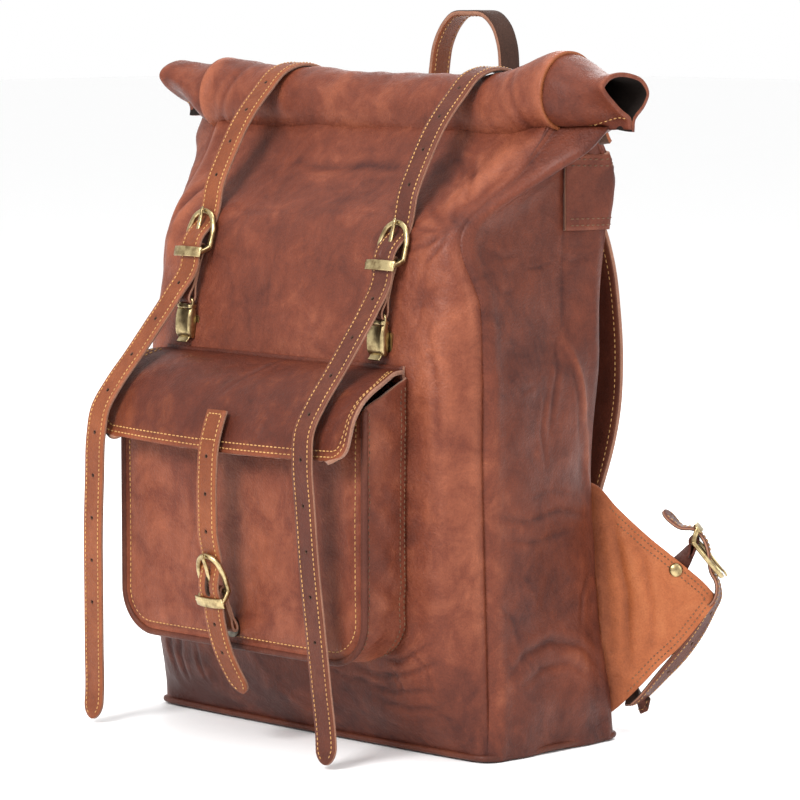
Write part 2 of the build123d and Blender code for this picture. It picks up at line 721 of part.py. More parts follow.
# narrow end of the shoulder strap, up through the wing buckle
wing_over = wing_plane.to_local_coords(lifted(wing_buckle_plane, 0, STRAP_OVER))
wing_under = wing_plane.to_local_coords(lifted(wing_buckle_plane, WING_REACH, STRAP_UNDER))
wing_kept = wing_plane.to_local_coords(lifted(wing_buckle_plane, KEEPER_AT[0] - 3, STRAP_OVER))
adjuster_local = [(45, 55), (wing_kept.X, wing_kept.Y), (wing_over.X, wing_over.Y),
                  (wing_under.X, wing_under.Y), (78.8, -5), (76, -20), (69, -36), (57, -51), (41, -63),
                  (24, -71)]
adjuster_line = [tuple(wing_plane.from_local_coords(Vector(x, y, 0))) for x, y in adjuster_local]
adjuster_line += [(160, 95, 27), (146, 103, 42), (137, 101, 80), (129, 92, 125), (121, 81, 164)]
adjuster = strap(adjuster_line, STRAP_WIDTH, STRAP_THICK, across=tuple(wing_plane.z_dir))
save_pair(shell_cut(adjuster, [strap_slot(wing_buckle_plane)]), "adjuster_strap")
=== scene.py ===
"""Looks of the roll-top leather backpack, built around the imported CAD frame.

Shapes are worked out in millimetres in the frame's own axes and become metres when a mesh is made.
"""

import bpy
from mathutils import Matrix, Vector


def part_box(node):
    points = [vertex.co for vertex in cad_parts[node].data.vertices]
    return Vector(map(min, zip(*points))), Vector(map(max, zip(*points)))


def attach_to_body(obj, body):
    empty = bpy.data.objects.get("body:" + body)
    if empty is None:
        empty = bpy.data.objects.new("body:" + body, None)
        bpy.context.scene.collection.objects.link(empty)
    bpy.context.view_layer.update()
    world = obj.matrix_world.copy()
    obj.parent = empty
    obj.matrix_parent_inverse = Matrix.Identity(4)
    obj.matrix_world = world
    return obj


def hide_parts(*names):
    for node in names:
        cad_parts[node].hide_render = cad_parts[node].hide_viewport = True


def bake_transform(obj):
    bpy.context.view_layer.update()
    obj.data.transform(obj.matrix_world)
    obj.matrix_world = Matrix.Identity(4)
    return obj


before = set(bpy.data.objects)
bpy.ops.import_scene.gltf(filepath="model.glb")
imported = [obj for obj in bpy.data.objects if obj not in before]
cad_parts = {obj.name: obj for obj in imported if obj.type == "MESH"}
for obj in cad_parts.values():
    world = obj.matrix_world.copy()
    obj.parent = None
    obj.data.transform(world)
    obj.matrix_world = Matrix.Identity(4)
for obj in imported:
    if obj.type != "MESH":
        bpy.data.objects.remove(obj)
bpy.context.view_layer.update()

from math import atan2, cos, pi, radians, sin, sqrt

import bpy
import numpy as np
from mathutils import Matrix, Vector

MM = 0.001
UP = np.array([0.0, 0.0, 1.0])
ACROSS = np.array([1.0, 0.0, 0.0])


# ---- small maths --------------------------------------------------------------------------------
def box_mm(node):
    """Lowest and highest corner of a CAD node, in millimetres."""
    low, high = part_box(node)
    return np.array(low) / MM, np.array(high) / MM


def unit(v):
    v = np.asarray(v, float)
    return v / np.maximum(np.linalg.norm(v, axis=-1, keepdims=True), 1e-9)


def smoothstep(low, high, x):
    t = np.clip((np.asarray(x, float) - low) / (high - low), 0, 1)
    return t * t * (3 - 2 * t)


def hermite(knots, values, x):
    """Smooth curve through values (n or n x k) at knots."""
    knots = np.asarray(knots, float)
    values = np.asarray(values, float)
    slopes = np.gradient(values, knots, axis=0)
    x = np.clip(np.asarray(x, float), knots[0], knots[-1])
    i = np.clip(np.searchsorted(knots, x, side="right") - 1, 0, len(knots) - 2)
    h = knots[i + 1] - knots[i]
    t = (x - knots[i]) / h
    if values.ndim > 1:
        t, h = t[..., None], h[..., None]
    a = (1 + 2 * t) * (1 - t) ** 2
    b = t * (1 - t) ** 2 * h
    c = t ** 2 * (3 - 2 * t)
    d = t ** 2 * (t - 1) * h
    return a * values[i] + b * slopes[i] + c * values[i + 1] + d * slopes[i + 1]


def smooth_path(points, step=2.0):
    """Evenly spaced samples, about `step` apart, of a smooth curve through given points."""
    points = np.asarray(points, float)
    reach = np.r_[0, np.cumsum(np.linalg.norm(np.diff(points, axis=0), axis=1))]
    dense = hermite(reach, points, np.linspace(0, reach[-1], 40 * len(points)))
    return resample(dense, step)


def resample(dense, step):
    run = np.r_[0, np.cumsum(np.linalg.norm(np.diff(dense, axis=0), axis=1))]
    count = max(int(round(run[-1] / step)), 2) + 1
    even = np.linspace(0, run[-1], count)
    return np.stack([np.interp(even, run, dense[:, k]) for k in range(dense.shape[1])], 1)


def ripple(points, wavelength, seed, waves=9):
    """Smooth seeded waviness of about unit size at each point."""
    rng = np.random.default_rng(seed)
    total = np.zeros(points.shape[:-1])
    for _ in range(waves):
        way = unit(rng.normal(size=3))
        rate = 2 * pi / (wavelength * rng.uniform(0.65, 1.5))
        total += np.sin(points @ way * rate + rng.uniform(0, 2 * pi))
    return total / sqrt(waves)


def along_line(a, b, line):
    """Distance of each (a, b) to a polyline, the share of its length passed there, and the side."""
    line = np.asarray(line, float)
    lengths = np.linalg.norm(np.diff(line, axis=0), axis=1)
    total = lengths.sum()
    best = np.full(a.shape, 1e9)
    share = np.zeros(a.shape)
    side = np.zeros(a.shape)
    passed = 0.0
    for p, q, length in zip(line[:-1], line[1:], lengths):
        way = (q - p) / length
        da, db = a - p[0], b - p[1]
        t = np.clip(da * way[0] + db * way[1], 0, length)
        ea, eb = da - way[0] * t, db - way[1] * t
        dist = np.hypot(ea, eb)
        near = dist < best
        best = np.where(near, dist, best)
        share = np.where(near, (passed + t) / total, share)
        side = np.where(near, np.sign(way[0] * db - way[1] * da), side)
        passed += length
    return best, share, side


def crease(a, b, line, width, depth, lift=0.55, taper=0.5):
    """Height of one fold: a valley along the line with a soft ridge on each side."""
    dist, share, _ = along_line(a, b, line)
    fade = np.sin(pi * np.clip(share, 0.02, 0.98)) ** taper
    valley = -np.exp(-(dist / (0.6 * width)) ** 2)
    ridge = lift * np.exp(-((dist - 1.5 * width) / width) ** 2)
    return depth * fade * (valley + ridge)


def bump_ridge(a, b, line, width, height, taper=0.5):
    """Height of one soft ridge along the line."""
    dist, share, _ = along_line(a, b, line)
    fade = np.sin(pi * np.clip(share, 0.02, 0.98)) ** taper
    return height * fade * np.exp(-(dist / width) ** 2)


# ---- mesh making --------------------------------------------------------------------------------
def make(name, verts, faces, materials, body, stands_for=(), face_slots=None, smooth=True,
         wear_and_painted_light=None):
    """Mesh object from millimetre points, riding on a body and standing for CAD nodes."""
    mesh = bpy.data.meshes.new(name)
    mesh.from_pydata((np.asarray(verts, float).reshape(-1, 3) * MM).tolist(), [], [list(f) for f in faces])
    for material in materials:
        mesh.materials.append(material)
    if face_slots is not None:
        mesh.polygons.foreach_set("material_index", np.asarray(face_slots, np.int32))
    mesh.polygons.foreach_set("use_smooth", np.full(len(mesh.polygons), smooth))
    if wear_and_painted_light is not None:
        layer = mesh.attributes.new("wear_and_painted_light", "FLOAT", "POINT")
        layer.data.foreach_set("value", np.asarray(wear_and_painted_light, np.float32).ravel())
    mesh.validate()
    mesh.update()
    obj = bpy.data.objects.new(name, mesh)
    bpy.context.scene.collection.objects.link(obj)
    if body:
        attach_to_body(obj, body)
    if stands_for:
        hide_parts(*stands_for)
    return obj


def grid_faces(rows, columns, wrap=False, start=0):
    """Quads of a rows x columns grid of points; wrap joins the last column to the first."""
    faces = []
    last = columns if wrap else columns - 1
    for i in range(rows - 1):
        for j in range(last):
            k = (j + 1) % columns
            faces.append((start + i * columns + j, start + i * columns + k,
                          start + (i + 1) * columns + k, start + (i + 1) * columns + j))
    return faces


def grid_normals(points):
    """Unit normals of a grid of points, rows x columns x 3."""
    down = np.gradient(points, axis=0)
    over = np.gradient(points, axis=1)
    return unit(np.cross(over, down))


def thicken(points, thickness, normals=None):
    """Closed slab from a grid: the grid itself, its inner copy, and the four edges between."""
    rows, columns = points.shape[:2]
    if normals is None:
        normals = grid_normals(points)
    inner = points - normals * thickness
    verts = np.concatenate([points.reshape(-1, 3), inner.reshape(-1, 3)])
    front = grid_faces(rows, columns)
    count = rows * columns
    back = [tuple(count + v for v in reversed(f)) for f in front]
    edge = [j for j in range(columns)] + [i * columns + columns - 1 for i in range(1, rows)]
    edge += [(rows - 1) * columns + j for j in range(columns - 2, -1, -1)]
    edge += [i * columns for i in range(rows - 2, 0, -1)]
    rim = [(edge[k], edge[k - 1], count + edge[k - 1], count + edge[k]) for k in range(len(edge))]
    return verts, front + back + rim, len(front), len(back)


def tube(path, section, across=None, closed=False, caps=True):
    """Section (n x 2: sideways, outwards) swept along a path with a steady sideways direction."""
    path = np.asarray(path, float)
    if closed:
        ways = unit(np.roll(path, -1, axis=0) - np.roll(path, 1, axis=0))
    else:
        ways = unit(np.gradient(path, axis=0))
    if across is None:
        across = np.tile(ACROSS, (len(path), 1))
    across = np.broadcast_to(np.asarray(across, float), path.shape)
    sideways = unit(across - ways * np.sum(across * ways, 1, keepdims=True))
    outwards = np.cross(ways, sideways)
    section = np.asarray(section, float)
    if section.ndim == 2:
        section = np.tile(section, (len(path), 1, 1))
    rings = path[:, None] + sideways[:, None] * section[:, :, :1] + outwards[:, None] * section[:, :, 1:]
    count = section.shape[1]
    faces = grid_faces(len(path), count, wrap=True)
    if closed:
        last = (len(path) - 1) * count
        faces += [(last + j, last + (j + 1) % count, (j + 1) % count, j) for j in range(count)]
    elif caps:
        faces += [tuple(reversed(range(count))), tuple((len(path) - 1) * count + j for j in range(count))]
    return rings.reshape(-1, 3), faces


def circle(radius, count=12, squash=1.0):
    turn = np.linspace(0, 2 * pi, count, endpoint=False)
    return np.stack([radius * np.cos(turn), radius * squash * np.sin(turn)], 1)


def rounded(width, height, radius, count=3):
    """Closed outline of a rounded rectangle."""
    corner = np.linspace(0, pi / 2, count + 1)
    points = []
    for k, (sx, sy) in enumerate([(1, 1), (-1, 1), (-1, -1), (1, -1)]):
        for turn in corner + k * pi / 2:
            points.append((sx * (width / 2 - radius) + radius * cos(turn),
                           sy * (height / 2 - radius) + radius * sin(turn)))
    return np.array(points)


class Bits:
    """Collects many small shapes into one mesh."""

    def __init__(self):
        self.verts, self.faces, self.count = [], [], 0

    def add(self, verts, faces):
        verts = np.asarray(verts, float).reshape(-1, 3)
        self.verts.append(verts)
        self.faces += [tuple(self.count + v for v in f) for f in faces]
        self.count += len(verts)

    def object(self, name, material, body, slot=None, stands_for=()):
        return make(name, np.concatenate(self.verts), self.faces, [material], body, stands_for)


STITCH_SHAPE = [(-0.5, 0.12, -0.9), (-0.42, 0.75, -0.25), (-0.15, 1.0, 0.0), (0.15, 1.0, 0.0),
                (0.42, 0.75, -0.25), (0.5, 0.12, -0.9)]   # along, radius share, height share


def stitches(bits, path, normals, pitch=3.4, length=2.5, radius=0.38, sink=0.05):
    """Thread stitches along a path that lies on a surface."""
    path = np.asarray(path, float)
    normals = np.broadcast_to(np.asarray(normals, float), path.shape)
    run = np.r_[0, np.cumsum(np.linalg.norm(np.diff(path, axis=0), axis=1))]
    count = int(run[-1] / pitch)
    if count < 1:
        return
    spots = (np.arange(count) + 0.5) * run[-1] / count
    centres = np.stack([np.interp(spots, run, path[:, k]) for k in range(3)], 1)
    ahead = np.stack([np.interp(spots + 0.6, run, path[:, k]) for k in range(3)], 1)
    behind = np.stack([np.interp(spots - 0.6, run, path[:, k]) for k in range(3)], 1)
    ways = unit(ahead - behind)
    ups = unit(np.stack([np.interp(spots, run, normals[:, k]) for k in range(3)], 1))
    sides = np.cross(ways, ups)
    ring = [(1, 0), (0.5, 0.85), (-0.5, 0.85), (-1, 0), (-0.5, -0.85), (0.5, -0.85)]
    for c, w, u, s in zip(centres, ways, ups, sides):
        verts = []
        for at, share, drop in STITCH_SHAPE:
            middle = c + w * at * length + u * (radius * (0.35 + drop) - sink)
            for rs, ru in ring:
                verts.append(middle + s * radius * share * rs + u * radius * share * ru)
        faces = grid_faces(len(STITCH_SHAPE), 6, wrap=True)
        faces += [(5, 4, 3, 2, 1, 0), tuple(range(30, 36))]
        bits.add(verts, faces)


# ---- materials ----------------------------------------------------------------------------------
class Nodes:
    """Short way to build a node tree."""

    def __init__(self, name):
        self.material = bpy.data.materials.new(name)
        self.material.use_nodes = True
        self.tree = self.material.node_tree
        self.tree.nodes.clear()

    def node(self, kind, **values):
        node = self.tree.nodes.new(kind)
        for key, value in values.items():
            if isinstance(value, bpy.types.NodeSocket):
                self.tree.links.new(value, node.inputs[key.replace("_", " ")])
            elif hasattr(node, key):
                setattr(node, key, value)
            else:
                node.inputs[key.replace("_", " ")].default_value = value
        return node

    def link(self, out, into):
        self.tree.links.new(out, into)

    def math(self, operation, a, b=0.0, clamp=False):
        node = self.tree.nodes.new("ShaderNodeMath")
        node.operation = operation
        node.use_clamp = clamp
        for socket, value in zip(node.inputs, (a, b)):
            if isinstance(value, bpy.types.NodeSocket):
                self.tree.links.new(value, socket)
            else:
                socket.default_value = value
        return node.outputs[0]

    def ramp(self, fac, stops):
        node = self.tree.nodes.new("ShaderNodeValToRGB")
        elements = node.color_ramp.elements
        while len(elements) < len(stops):
            elements.new(0.5)
        for element, (place, colour) in zip(elements, stops):
            element.position = place
            element.color = (*colour, 1.0)
        self.tree.links.new(fac, node.inputs[0])
        return node.outputs[0]

    def mix(self, fac, a, b, blend="MIX"):
        node = self.tree.nodes.new("ShaderNodeMix")
        node.data_type = "RGBA"
        node.blend_type = blend
        for socket, value in ((node.inputs[0], fac), (node.inputs[6], a), (node.inputs[7], b)):
            if isinstance(value, bpy.types.NodeSocket):
                self.tree.links.new(value, socket)
            else:
                socket.default_value = value if isinstance(value, float) else (*value, 1.0)
        return node.outputs[2]


def leather(name, dark, base, light, rough=0.42, grain=1.0, mottle=1.0):
    """Pull-up leather: cloudy tone, paler rubbed ridges as wear, darker hollows as painted shade, painted highlight and
    shade patches from the per-point tone attribute, pores and fine creasing.
    """
    n = Nodes(name)
    place = n.node("ShaderNodeTexCoord").outputs["Object"]
    cloud = n.node("ShaderNodeTexNoise", Vector=place, Scale=11.0, Detail=4.0, Roughness=0.55).outputs["Fac"]
    patch = n.node("ShaderNodeTexNoise", Vector=place, Scale=38.0, Detail=9.0, Roughness=0.70,
                   Distortion=0.6).outputs["Fac"]
    streak_way = n.node("ShaderNodeMapping", Vector=place)
    streak_way.inputs["Scale"].default_value = (1.0, 1.0, 0.5)
    streak_way.inputs["Rotation"].default_value = (0.0, 0.25, 0.15)
    streak = n.node("ShaderNodeTexNoise", Vector=streak_way.outputs[0], Scale=120.0, Detail=5.0,
                    Roughness=0.6).outputs["Fac"]
    # per-point tone shift: real wear on ridges and edges, plus painted shade in hollows and painted highlight and shade
    # patches
    wear_and_painted_light = n.node("ShaderNodeAttribute", attribute_name="wear_and_painted_light").outputs["Fac"]
    tone = n.math("ADD", n.math("MULTIPLY", n.math("SUBTRACT", cloud, 0.5), 0.75 * mottle),
                  n.math("MULTIPLY", n.math("SUBTRACT", patch, 0.5), 0.80 * mottle))
    tone = n.math("ADD", tone, n.math("MULTIPLY", n.math("SUBTRACT", streak, 0.5), 0.26 * mottle))
    veins = n.node("ShaderNodeTexNoise", Vector=place, Scale=26.0, Detail=2.0, Distortion=2.4).outputs["Fac"]
    scratch = n.math("SUBTRACT", 1.0, n.math("MULTIPLY", n.math("ABSOLUTE", n.math("SUBTRACT", veins, 0.5)), 150.0),
                     clamp=True)
    seldom = n.math("MULTIPLY", n.math("SUBTRACT", patch, 0.50), 3.0, clamp=True)
    tone = n.math("ADD", tone, n.math("MULTIPLY", n.math("MULTIPLY", scratch, seldom), 0.30 * mottle))
    tone = n.math("ADD", tone, n.math("MULTIPLY", wear_and_painted_light, 0.34))
    tone = n.math("ADD", tone, 0.5, clamp=True)
    colour = n.ramp(tone, [(0.0, dark), (0.16, dark), (0.50, base), (0.90, light), (1.0, light)])
    speck = n.node("ShaderNodeTexNoise", Vector=place, Scale=900.0, Detail=2.0).outputs["Fac"]
    colour = n.mix(0.22, colour, n.ramp(speck, [(0.3, (0.25, 0.2, 0.2)), (0.62, (1.0, 1.0, 1.0))]), "MULTIPLY")
    pores = n.node("ShaderNodeTexVoronoi", Vector=place, Scale=620.0).outputs["Distance"]
    fine = n.node("ShaderNodeTexNoise", Vector=place, Scale=420.0, Detail=4.0, Roughness=0.6).outputs["Fac"]
    lines = n.node("ShaderNodeTexNoise", Vector=place, Scale=75.0, Detail=7.0, Roughness=0.6,
                   Distortion=1.2).outputs["Fac"]
    lines = n.math("ABSOLUTE", n.math("SUBTRACT", lines, 0.5))
    lines = n.math("MINIMUM", n.math("MULTIPLY", lines, 9.0), 1.0)
    height = n.math("ADD", n.math("MULTIPLY", pores, 0.35), n.math("MULTIPLY", fine, 0.55))
    height = n.math("ADD", height, n.math("MULTIPLY", lines, 0.30))
    bump = n.node("ShaderNodeBump", Height=height, Strength=0.55 * grain, Distance=0.0009)
    roughness = n.math("ADD", n.math("MULTIPLY", n.math("SUBTRACT", patch, 0.5), -0.35), rough)
    roughness = n.math("ADD", roughness, n.math("MULTIPLY", fine, 0.10))
    shader = n.node("ShaderNodeBsdfPrincipled", Base_Color=colour, Roughness=roughness, Normal=bump.outputs[0])
    shader.inputs["IOR"].default_value = 1.40
    shader.inputs["Specular IOR Level"].default_value = 0.24
    shader.inputs["Coat Weight"].default_value = 0.035
    shader.inputs["Coat Roughness"].default_value = 0.28
    out = n.node("ShaderNodeOutputMaterial")
    n.link(shader.outputs[0], out.inputs[0])
    return n.material


def fibre(name, base, dark, scale=700.0, rough=0.85, sheen=0.12):
    """Raw cut edge or flesh side: pale, fuzzy and matt."""
    n = Nodes(name)
    place = n.node("ShaderNodeTexCoord").outputs["Object"]
    nap = n.node("ShaderNodeTexNoise", Vector=place, Scale=scale, Detail=6.0, Roughness=0.75).outputs["Fac"]
    broad = n.node("ShaderNodeTexNoise", Vector=place, Scale=60.0, Detail=3.0).outputs["Fac"]
    tone = n.math("ADD", n.math("MULTIPLY", nap, 0.7), n.math("MULTIPLY", broad, 0.3))
    colour = n.ramp(tone, [(0.32, dark), (0.62, base)])
    bump = n.node("ShaderNodeBump", Height=nap, Strength=0.6, Distance=0.0006)
    shader = n.node("ShaderNodeBsdfPrincipled", Base_Color=colour, Normal=bump.outputs[0], Roughness=rough)
    shader.inputs["Sheen Weight"].default_value = sheen
    shader.inputs["Specular IOR Level"].default_value = 0.2
    out = n.node("ShaderNodeOutputMaterial")
    n.link(shader.outputs[0], out.inputs[0])
    return n.material


def thread(name, light, dark):
    """Waxed twisted thread."""
    n = Nodes(name)
    place = n.node("ShaderNodeTexCoord").outputs["Object"]
    twist = n.node("ShaderNodeTexNoise", Vector=place, Scale=1500.0, Detail=2.0).outputs["Fac"]
    dirt = n.node("ShaderNodeTexNoise", Vector=place, Scale=45.0, Detail=3.0).outputs["Fac"]
    tone = n.math("ADD", n.math("MULTIPLY", twist, 0.5), n.math("MULTIPLY", dirt, 0.5))
    colour = n.ramp(tone, [(0.35, dark), (0.58, light)])
    bump = n.node("ShaderNodeBump", Height=twist, Strength=0.4, Distance=0.0002)
    shader = n.node("ShaderNodeBsdfPrincipled", Base_Color=colour, Normal=bump.outputs[0])
    shader.inputs["Roughness"].default_value = 0.55
    out = n.node("ShaderNodeOutputMaterial")
    n.link(shader.outputs[0], out.inputs[0])
    return n.material


def old_brass(name, bright, dull):
    """Antique brass: satin metal, browner and rougher in patches, with fine brushing."""
    n = Nodes(name)
    place = n.node("ShaderNodeTexCoord").outputs["Object"]
    tarnish = n.node("ShaderNodeTexNoise", Vector=place, Scale=140.0, Detail=6.0, Roughness=0.65).outputs["Fac"]
    brush_way = n.node("ShaderNodeMapping", Vector=place)
    brush_way.inputs["Scale"].default_value = (0.25, 1.0, 1.0)
    brush = n.node("ShaderNodeTexNoise", Vector=brush_way.outputs[0], Scale=2600.0, Detail=2.0).outputs["Fac"]
    colour = n.ramp(tarnish, [(0.36, dull), (0.58, bright)])
    roughness = n.math("ADD", n.math("MULTIPLY", tarnish, -0.25), 0.44)
    bump = n.node("ShaderNodeBump", Height=brush, Strength=0.12, Distance=0.0001)
    shader = n.node("ShaderNodeBsdfPrincipled", Base_Color=colour, Roughness=roughness, Normal=bump.outputs[0])
    shader.inputs["Metallic"].default_value = 1.0
    out = n.node("ShaderNodeOutputMaterial")
    n.link(shader.outputs[0], out.inputs[0])
    return n.material


def plain_floor(name, tone):
    n = Nodes(name)
    shader = n.node("ShaderNodeBsdfPrincipled")
    shader.inputs["Base Color"].default_value = (tone, tone, tone, 1.0)
    shader.inputs["Roughness"].default_value = 0.45
    shader.inputs["Specular IOR Level"].default_value = 0.25
    out = n.node("ShaderNodeOutputMaterial")
    n.link(shader.outputs[0], out.inputs[0])
    return n.material


BODY = leather("body leather", (0.050, 0.012, 0.008), (0.128, 0.031, 0.0155), (0.272, 0.082, 0.040))
FLAP = leather("flap leather", (0.034, 0.008, 0.005), (0.082, 0.018, 0.009), (0.200, 0.052, 0.020), rough=0.40)
TAN = leather("tan leather", (0.085, 0.020, 0.008), (0.160, 0.042, 0.015), (0.265, 0.080, 0.030), mottle=0.8)
WING = leather("wing leather", (0.160, 0.040, 0.014), (0.300, 0.086, 0.030), (0.42, 0.145, 0.055), mottle=0.8)
DARK = leather("dark leather", (0.034, 0.009, 0.006), (0.078, 0.020, 0.011), (0.150, 0.044, 0.020), mottle=0.8)
EDGE = fibre("raw edge", (0.30, 0.145, 0.090), (0.15, 0.062, 0.038))
# near-black inside faces of the roll ends: painted shade in the open ends, not the leather's own colour
SHADE = fibre("painted shade inside roll ends", (0.010, 0.005, 0.0035), (0.005, 0.003, 0.002), sheen=0.0)
# strap inner faces darker than the flesh side: painted shade under the handle and adjuster straps
PAINTED_SHADE_UNDERSIDE = fibre("strap inner face in painted shade", (0.050, 0.022, 0.014), (0.022, 0.010, 0.007), sheen=0.0)
FLESH = fibre("flesh side", (0.11, 0.055, 0.035), (0.040, 0.020, 0.014))
GOLD_THREAD = thread("gold thread", (0.50, 0.27, 0.085), (0.26, 0.12, 0.035))
BROWN_THREAD = thread("brown thread", (0.150, 0.068, 0.026), (0.045, 0.019, 0.009))
BRASS = old_brass("antique brass", (0.52, 0.41, 0.21), (0.21, 0.145, 0.07))


# ---- camera, light and floor --------------------------------------------------------------------
def studio():
    azimuth, pitch, distance, aside, height = radians(45.0), radians(6.06), 2.839, 0.011, 0.533
    camera = bpy.data.cameras.new("camera")
    camera.sensor_width = 36.0
    camera.lens = 180.0
    camera.clip_end = 50.0
    eye = bpy.data.objects.new("camera", camera)
    eye.location = (sin(azimuth) * distance + aside * cos(azimuth),
                    -cos(azimuth) * distance + aside * sin(azimuth), height)
    eye.rotation_euler = (pi / 2 - pitch, 0.0, azimuth)
    bpy.context.scene.collection.objects.link(eye)
    bpy.context.scene.camera = eye

    def lamp(name, place, aim, size, power, tint=(1.0, 1.0, 1.0)):
        light = bpy.data.lights.new(name, "AREA")
        light.shape = "RECTANGLE"
        light.size, light.size_y = size
        light.energy = power
        light.color = tint
        holder = bpy.data.objects.new(name, light)
        holder.location = place
        holder.rotation_euler = (Vector(aim) - Vector(place)).to_track_quat("-Z", "Y").to_euler()
        bpy.context.scene.collection.objects.link(holder)

    lamp("key", (0.35, -2.5, 1.9), (0.0, -0.05, 0.25), (1.1, 1.0), 96.0)
    lamp("side", (2.6, -0.2, 1.5), (0.05, 0.0, 0.25), (1.1, 1.4), 20.0)
    lamp("top", (0.3, 0.5, 2.6), (0.0, 0.0, 0.3), (1.6, 1.6), 36.0)
    lamp("back", (-1.2, 2.3, 1.6), (0.0, 0.1, 0.3), (1.6, 1.2), 30.0)

    world = bpy.data.worlds.new("studio")
    world.use_nodes = True
    world.node_tree.nodes["Background"].inputs[0].default_value = (1.0, 1.0, 1.0, 1.0)
    world.node_tree.nodes["Background"].inputs[1].default_value = 1.0
    bpy.context.scene.world = world
    bpy.context.scene.view_settings.view_transform = "Standard"

    mesh = bpy.data.meshes.new("floor")
    reach = 14.0
    mesh.from_pydata([(-reach, -reach, 0), (reach, -reach, 0), (reach, reach, 0), (-reach, reach, 0)], [],
                     [(0, 1, 2, 3)])
    mesh.materials.append(plain_floor("floor", 0.97))
    floor = bpy.data.objects.new("floor", mesh)
    bpy.context.scene.collection.objects.link(floor)


studio()

# ---- bag body -----------------------------------------------------------------------------------
# Heights, and at each one: front corner x and y, front shoulder x and y, front centre y, gusset
# crease x, back corner x and y. These are the CAD panels' own sections.
LEVELS = np.array([
    (0, 165, -65, 120, -66.5, -68, 166.5, 165, 65),
    (30, 165, -63, 122, -84, -88, 165.5, 162, 65),
    (70, 164, -63, 124, -95, -98, 163, 152, 65),
    (150, 163, -65, 126, -98, -101, 161, 142, 65),
    (210, 163, -67, 126, -98, -101, 161, 143, 65),
    (265, 163, -67, 125, -97, -100, 161, 149, 65),
    (310, 160, -66, 122, -91, -94, 151, 150, 65),
    (366, 147, -68, 118, -75, -78, 147, 156, 65),
    (400, 160, -30, 118, -36, -39, 154, 161, 62),
    (439, 172, 0, 118, -2, -4, 163, 166, 34),
], float)
PANEL = 3.0
BODY_TOP = 436.0
SIDE_TOP = 431.0
CREASE_LOW = 285.0        # the gusset is folded above this height
CREASE_AT = (147.0, 27.0)  # x and y of that fold
SEAM_TUCK = 3.2


def level(z):
    """Section numbers at heights z."""
    return hermite(LEVELS[:, 0], LEVELS[:, 1:], z)


def curve_rows(points, knots, places):
    """Smooth curve through points (rows x k x 2) at `places`, one row after another."""
    return np.stack([hermite(knots, row, places) for row in points])


def arc_from_edges(points):
    """Distance of each grid point from the first and from the last column, along its row."""
    steps = np.linalg.norm(np.diff(points, axis=1), axis=2)
    run = np.concatenate([np.zeros((len(points), 1)), np.cumsum(steps, axis=1)], axis=1)
    return run, run[:, -1:] - run


def seam_shape(distance, tuck=SEAM_TUCK, puff=1.0):
    """Leather pulled down into a seam, with a soft roll beside it."""
    return -tuck * np.exp(-(distance / 2.4) ** 2) + puff * np.exp(-((distance - 10) / 6) ** 2)


def panel(name, points, body, material, stands_for, height=0.0, wear_and_painted_light=0.0, thickness=PANEL,
          inside=None, edge=None):
    """Leather panel from a grid, moved along its normals by height. Returns object, grid, normals."""
    normals = grid_normals(points)
    moved = points + normals * np.broadcast_to(height, points.shape[:2])[..., None]
    normals = grid_normals(moved)
    verts, faces, front, back = thicken(moved, thickness, normals)
    kinds = [0] * front + [1] * back + [2] * (len(faces) - front - back)
    wear_and_painted_light = np.broadcast_to(wear_and_painted_light, points.shape[:2]).ravel()
    obj = make(name, verts, faces, [material, inside or FLESH, edge or material], body, stands_for,
               face_slots=kinds, wear_and_painted_light=np.concatenate([wear_and_painted_light, wear_and_painted_light]))
    return obj, moved, normals


def sample(grid, rows, columns):
    """Grid values at fractional rows and columns."""
    rows = np.clip(np.asarray(rows, float), 0, grid.shape[0] - 1.001)
    columns = np.clip(np.asarray(columns, float), 0, grid.shape[1] - 1.001)
    i, j = rows.astype(int), columns.astype(int)
    a, b = (rows - i)[..., None], (columns - j)[..., None]
    return ((grid[i, j] * (1 - b) + grid[i, j + 1] * b) * (1 - a)
            + (grid[i + 1, j] * (1 - b) + grid[i + 1, j + 1] * b) * a)


def column_at(arc, distance):
    """Fractional column at a distance from the first column, for each row of arc lengths."""
    columns = np.arange(arc.shape[1])
    return np.array([np.interp(distance, row, columns) for row in arc])


def row_stitches(bits, moved, normals, arc, distance, rows, **look):
    """Stitches up the panel at a steady distance from its first column."""
    at = column_at(arc, distance)[rows]
    stitches(bits, sample(moved, rows, at), sample(normals, rows, at), **look)


# Tone shift from fold height: raised ridges paler as rubbed wear, hollows darker as painted shade.
def wear_and_shade_from(height, strength=0.35):
    return np.tanh(np.asarray(height) * strength)


FRONT_KNOTS = np.array([-1.0, -0.90, -0.74, -0.38, 0.0, 0.38, 0.74, 0.90, 1.0])


def front_grid(z, share):
    """Front panel points for heights z and places -1..1 across it."""
    fx, fy, lx, ly, cy = level(z).T[:5]
    turn_x, turn_y = lx + 0.68 * (fx - lx), ly + 0.34 * (fy - ly)
    half = [(0 * fx, cy), (0.5 * lx, cy + 0.3 * (ly - cy)), (lx, ly), (turn_x, turn_y), (fx, fy)]
    points = [(-x, y) for x, y in reversed(half[1:])] + half
    points = np.stack([np.stack(p, 1) for p in points], 1)
    flat = curve_rows(points, FRONT_KNOTS, share)
    return np.dstack([flat, np.broadcast_to(z[:, None], flat.shape[:2])])


def radiating(a, b, centre, spokes, inner, width, depth):
    """Star of folds: each spoke is (degrees, length)."""
    total = np.zeros(a.shape)
    for turn, length in spokes:
        way = np.array([cos(radians(turn)), sin(radians(turn))])
        bend = np.array([-way[1], way[0]]) * length * 0.06
        line = [centre + way * inner, centre + way * (inner + length) / 2 + bend, centre + way * length]
        total += crease(a, b, line, width, depth)
    return total


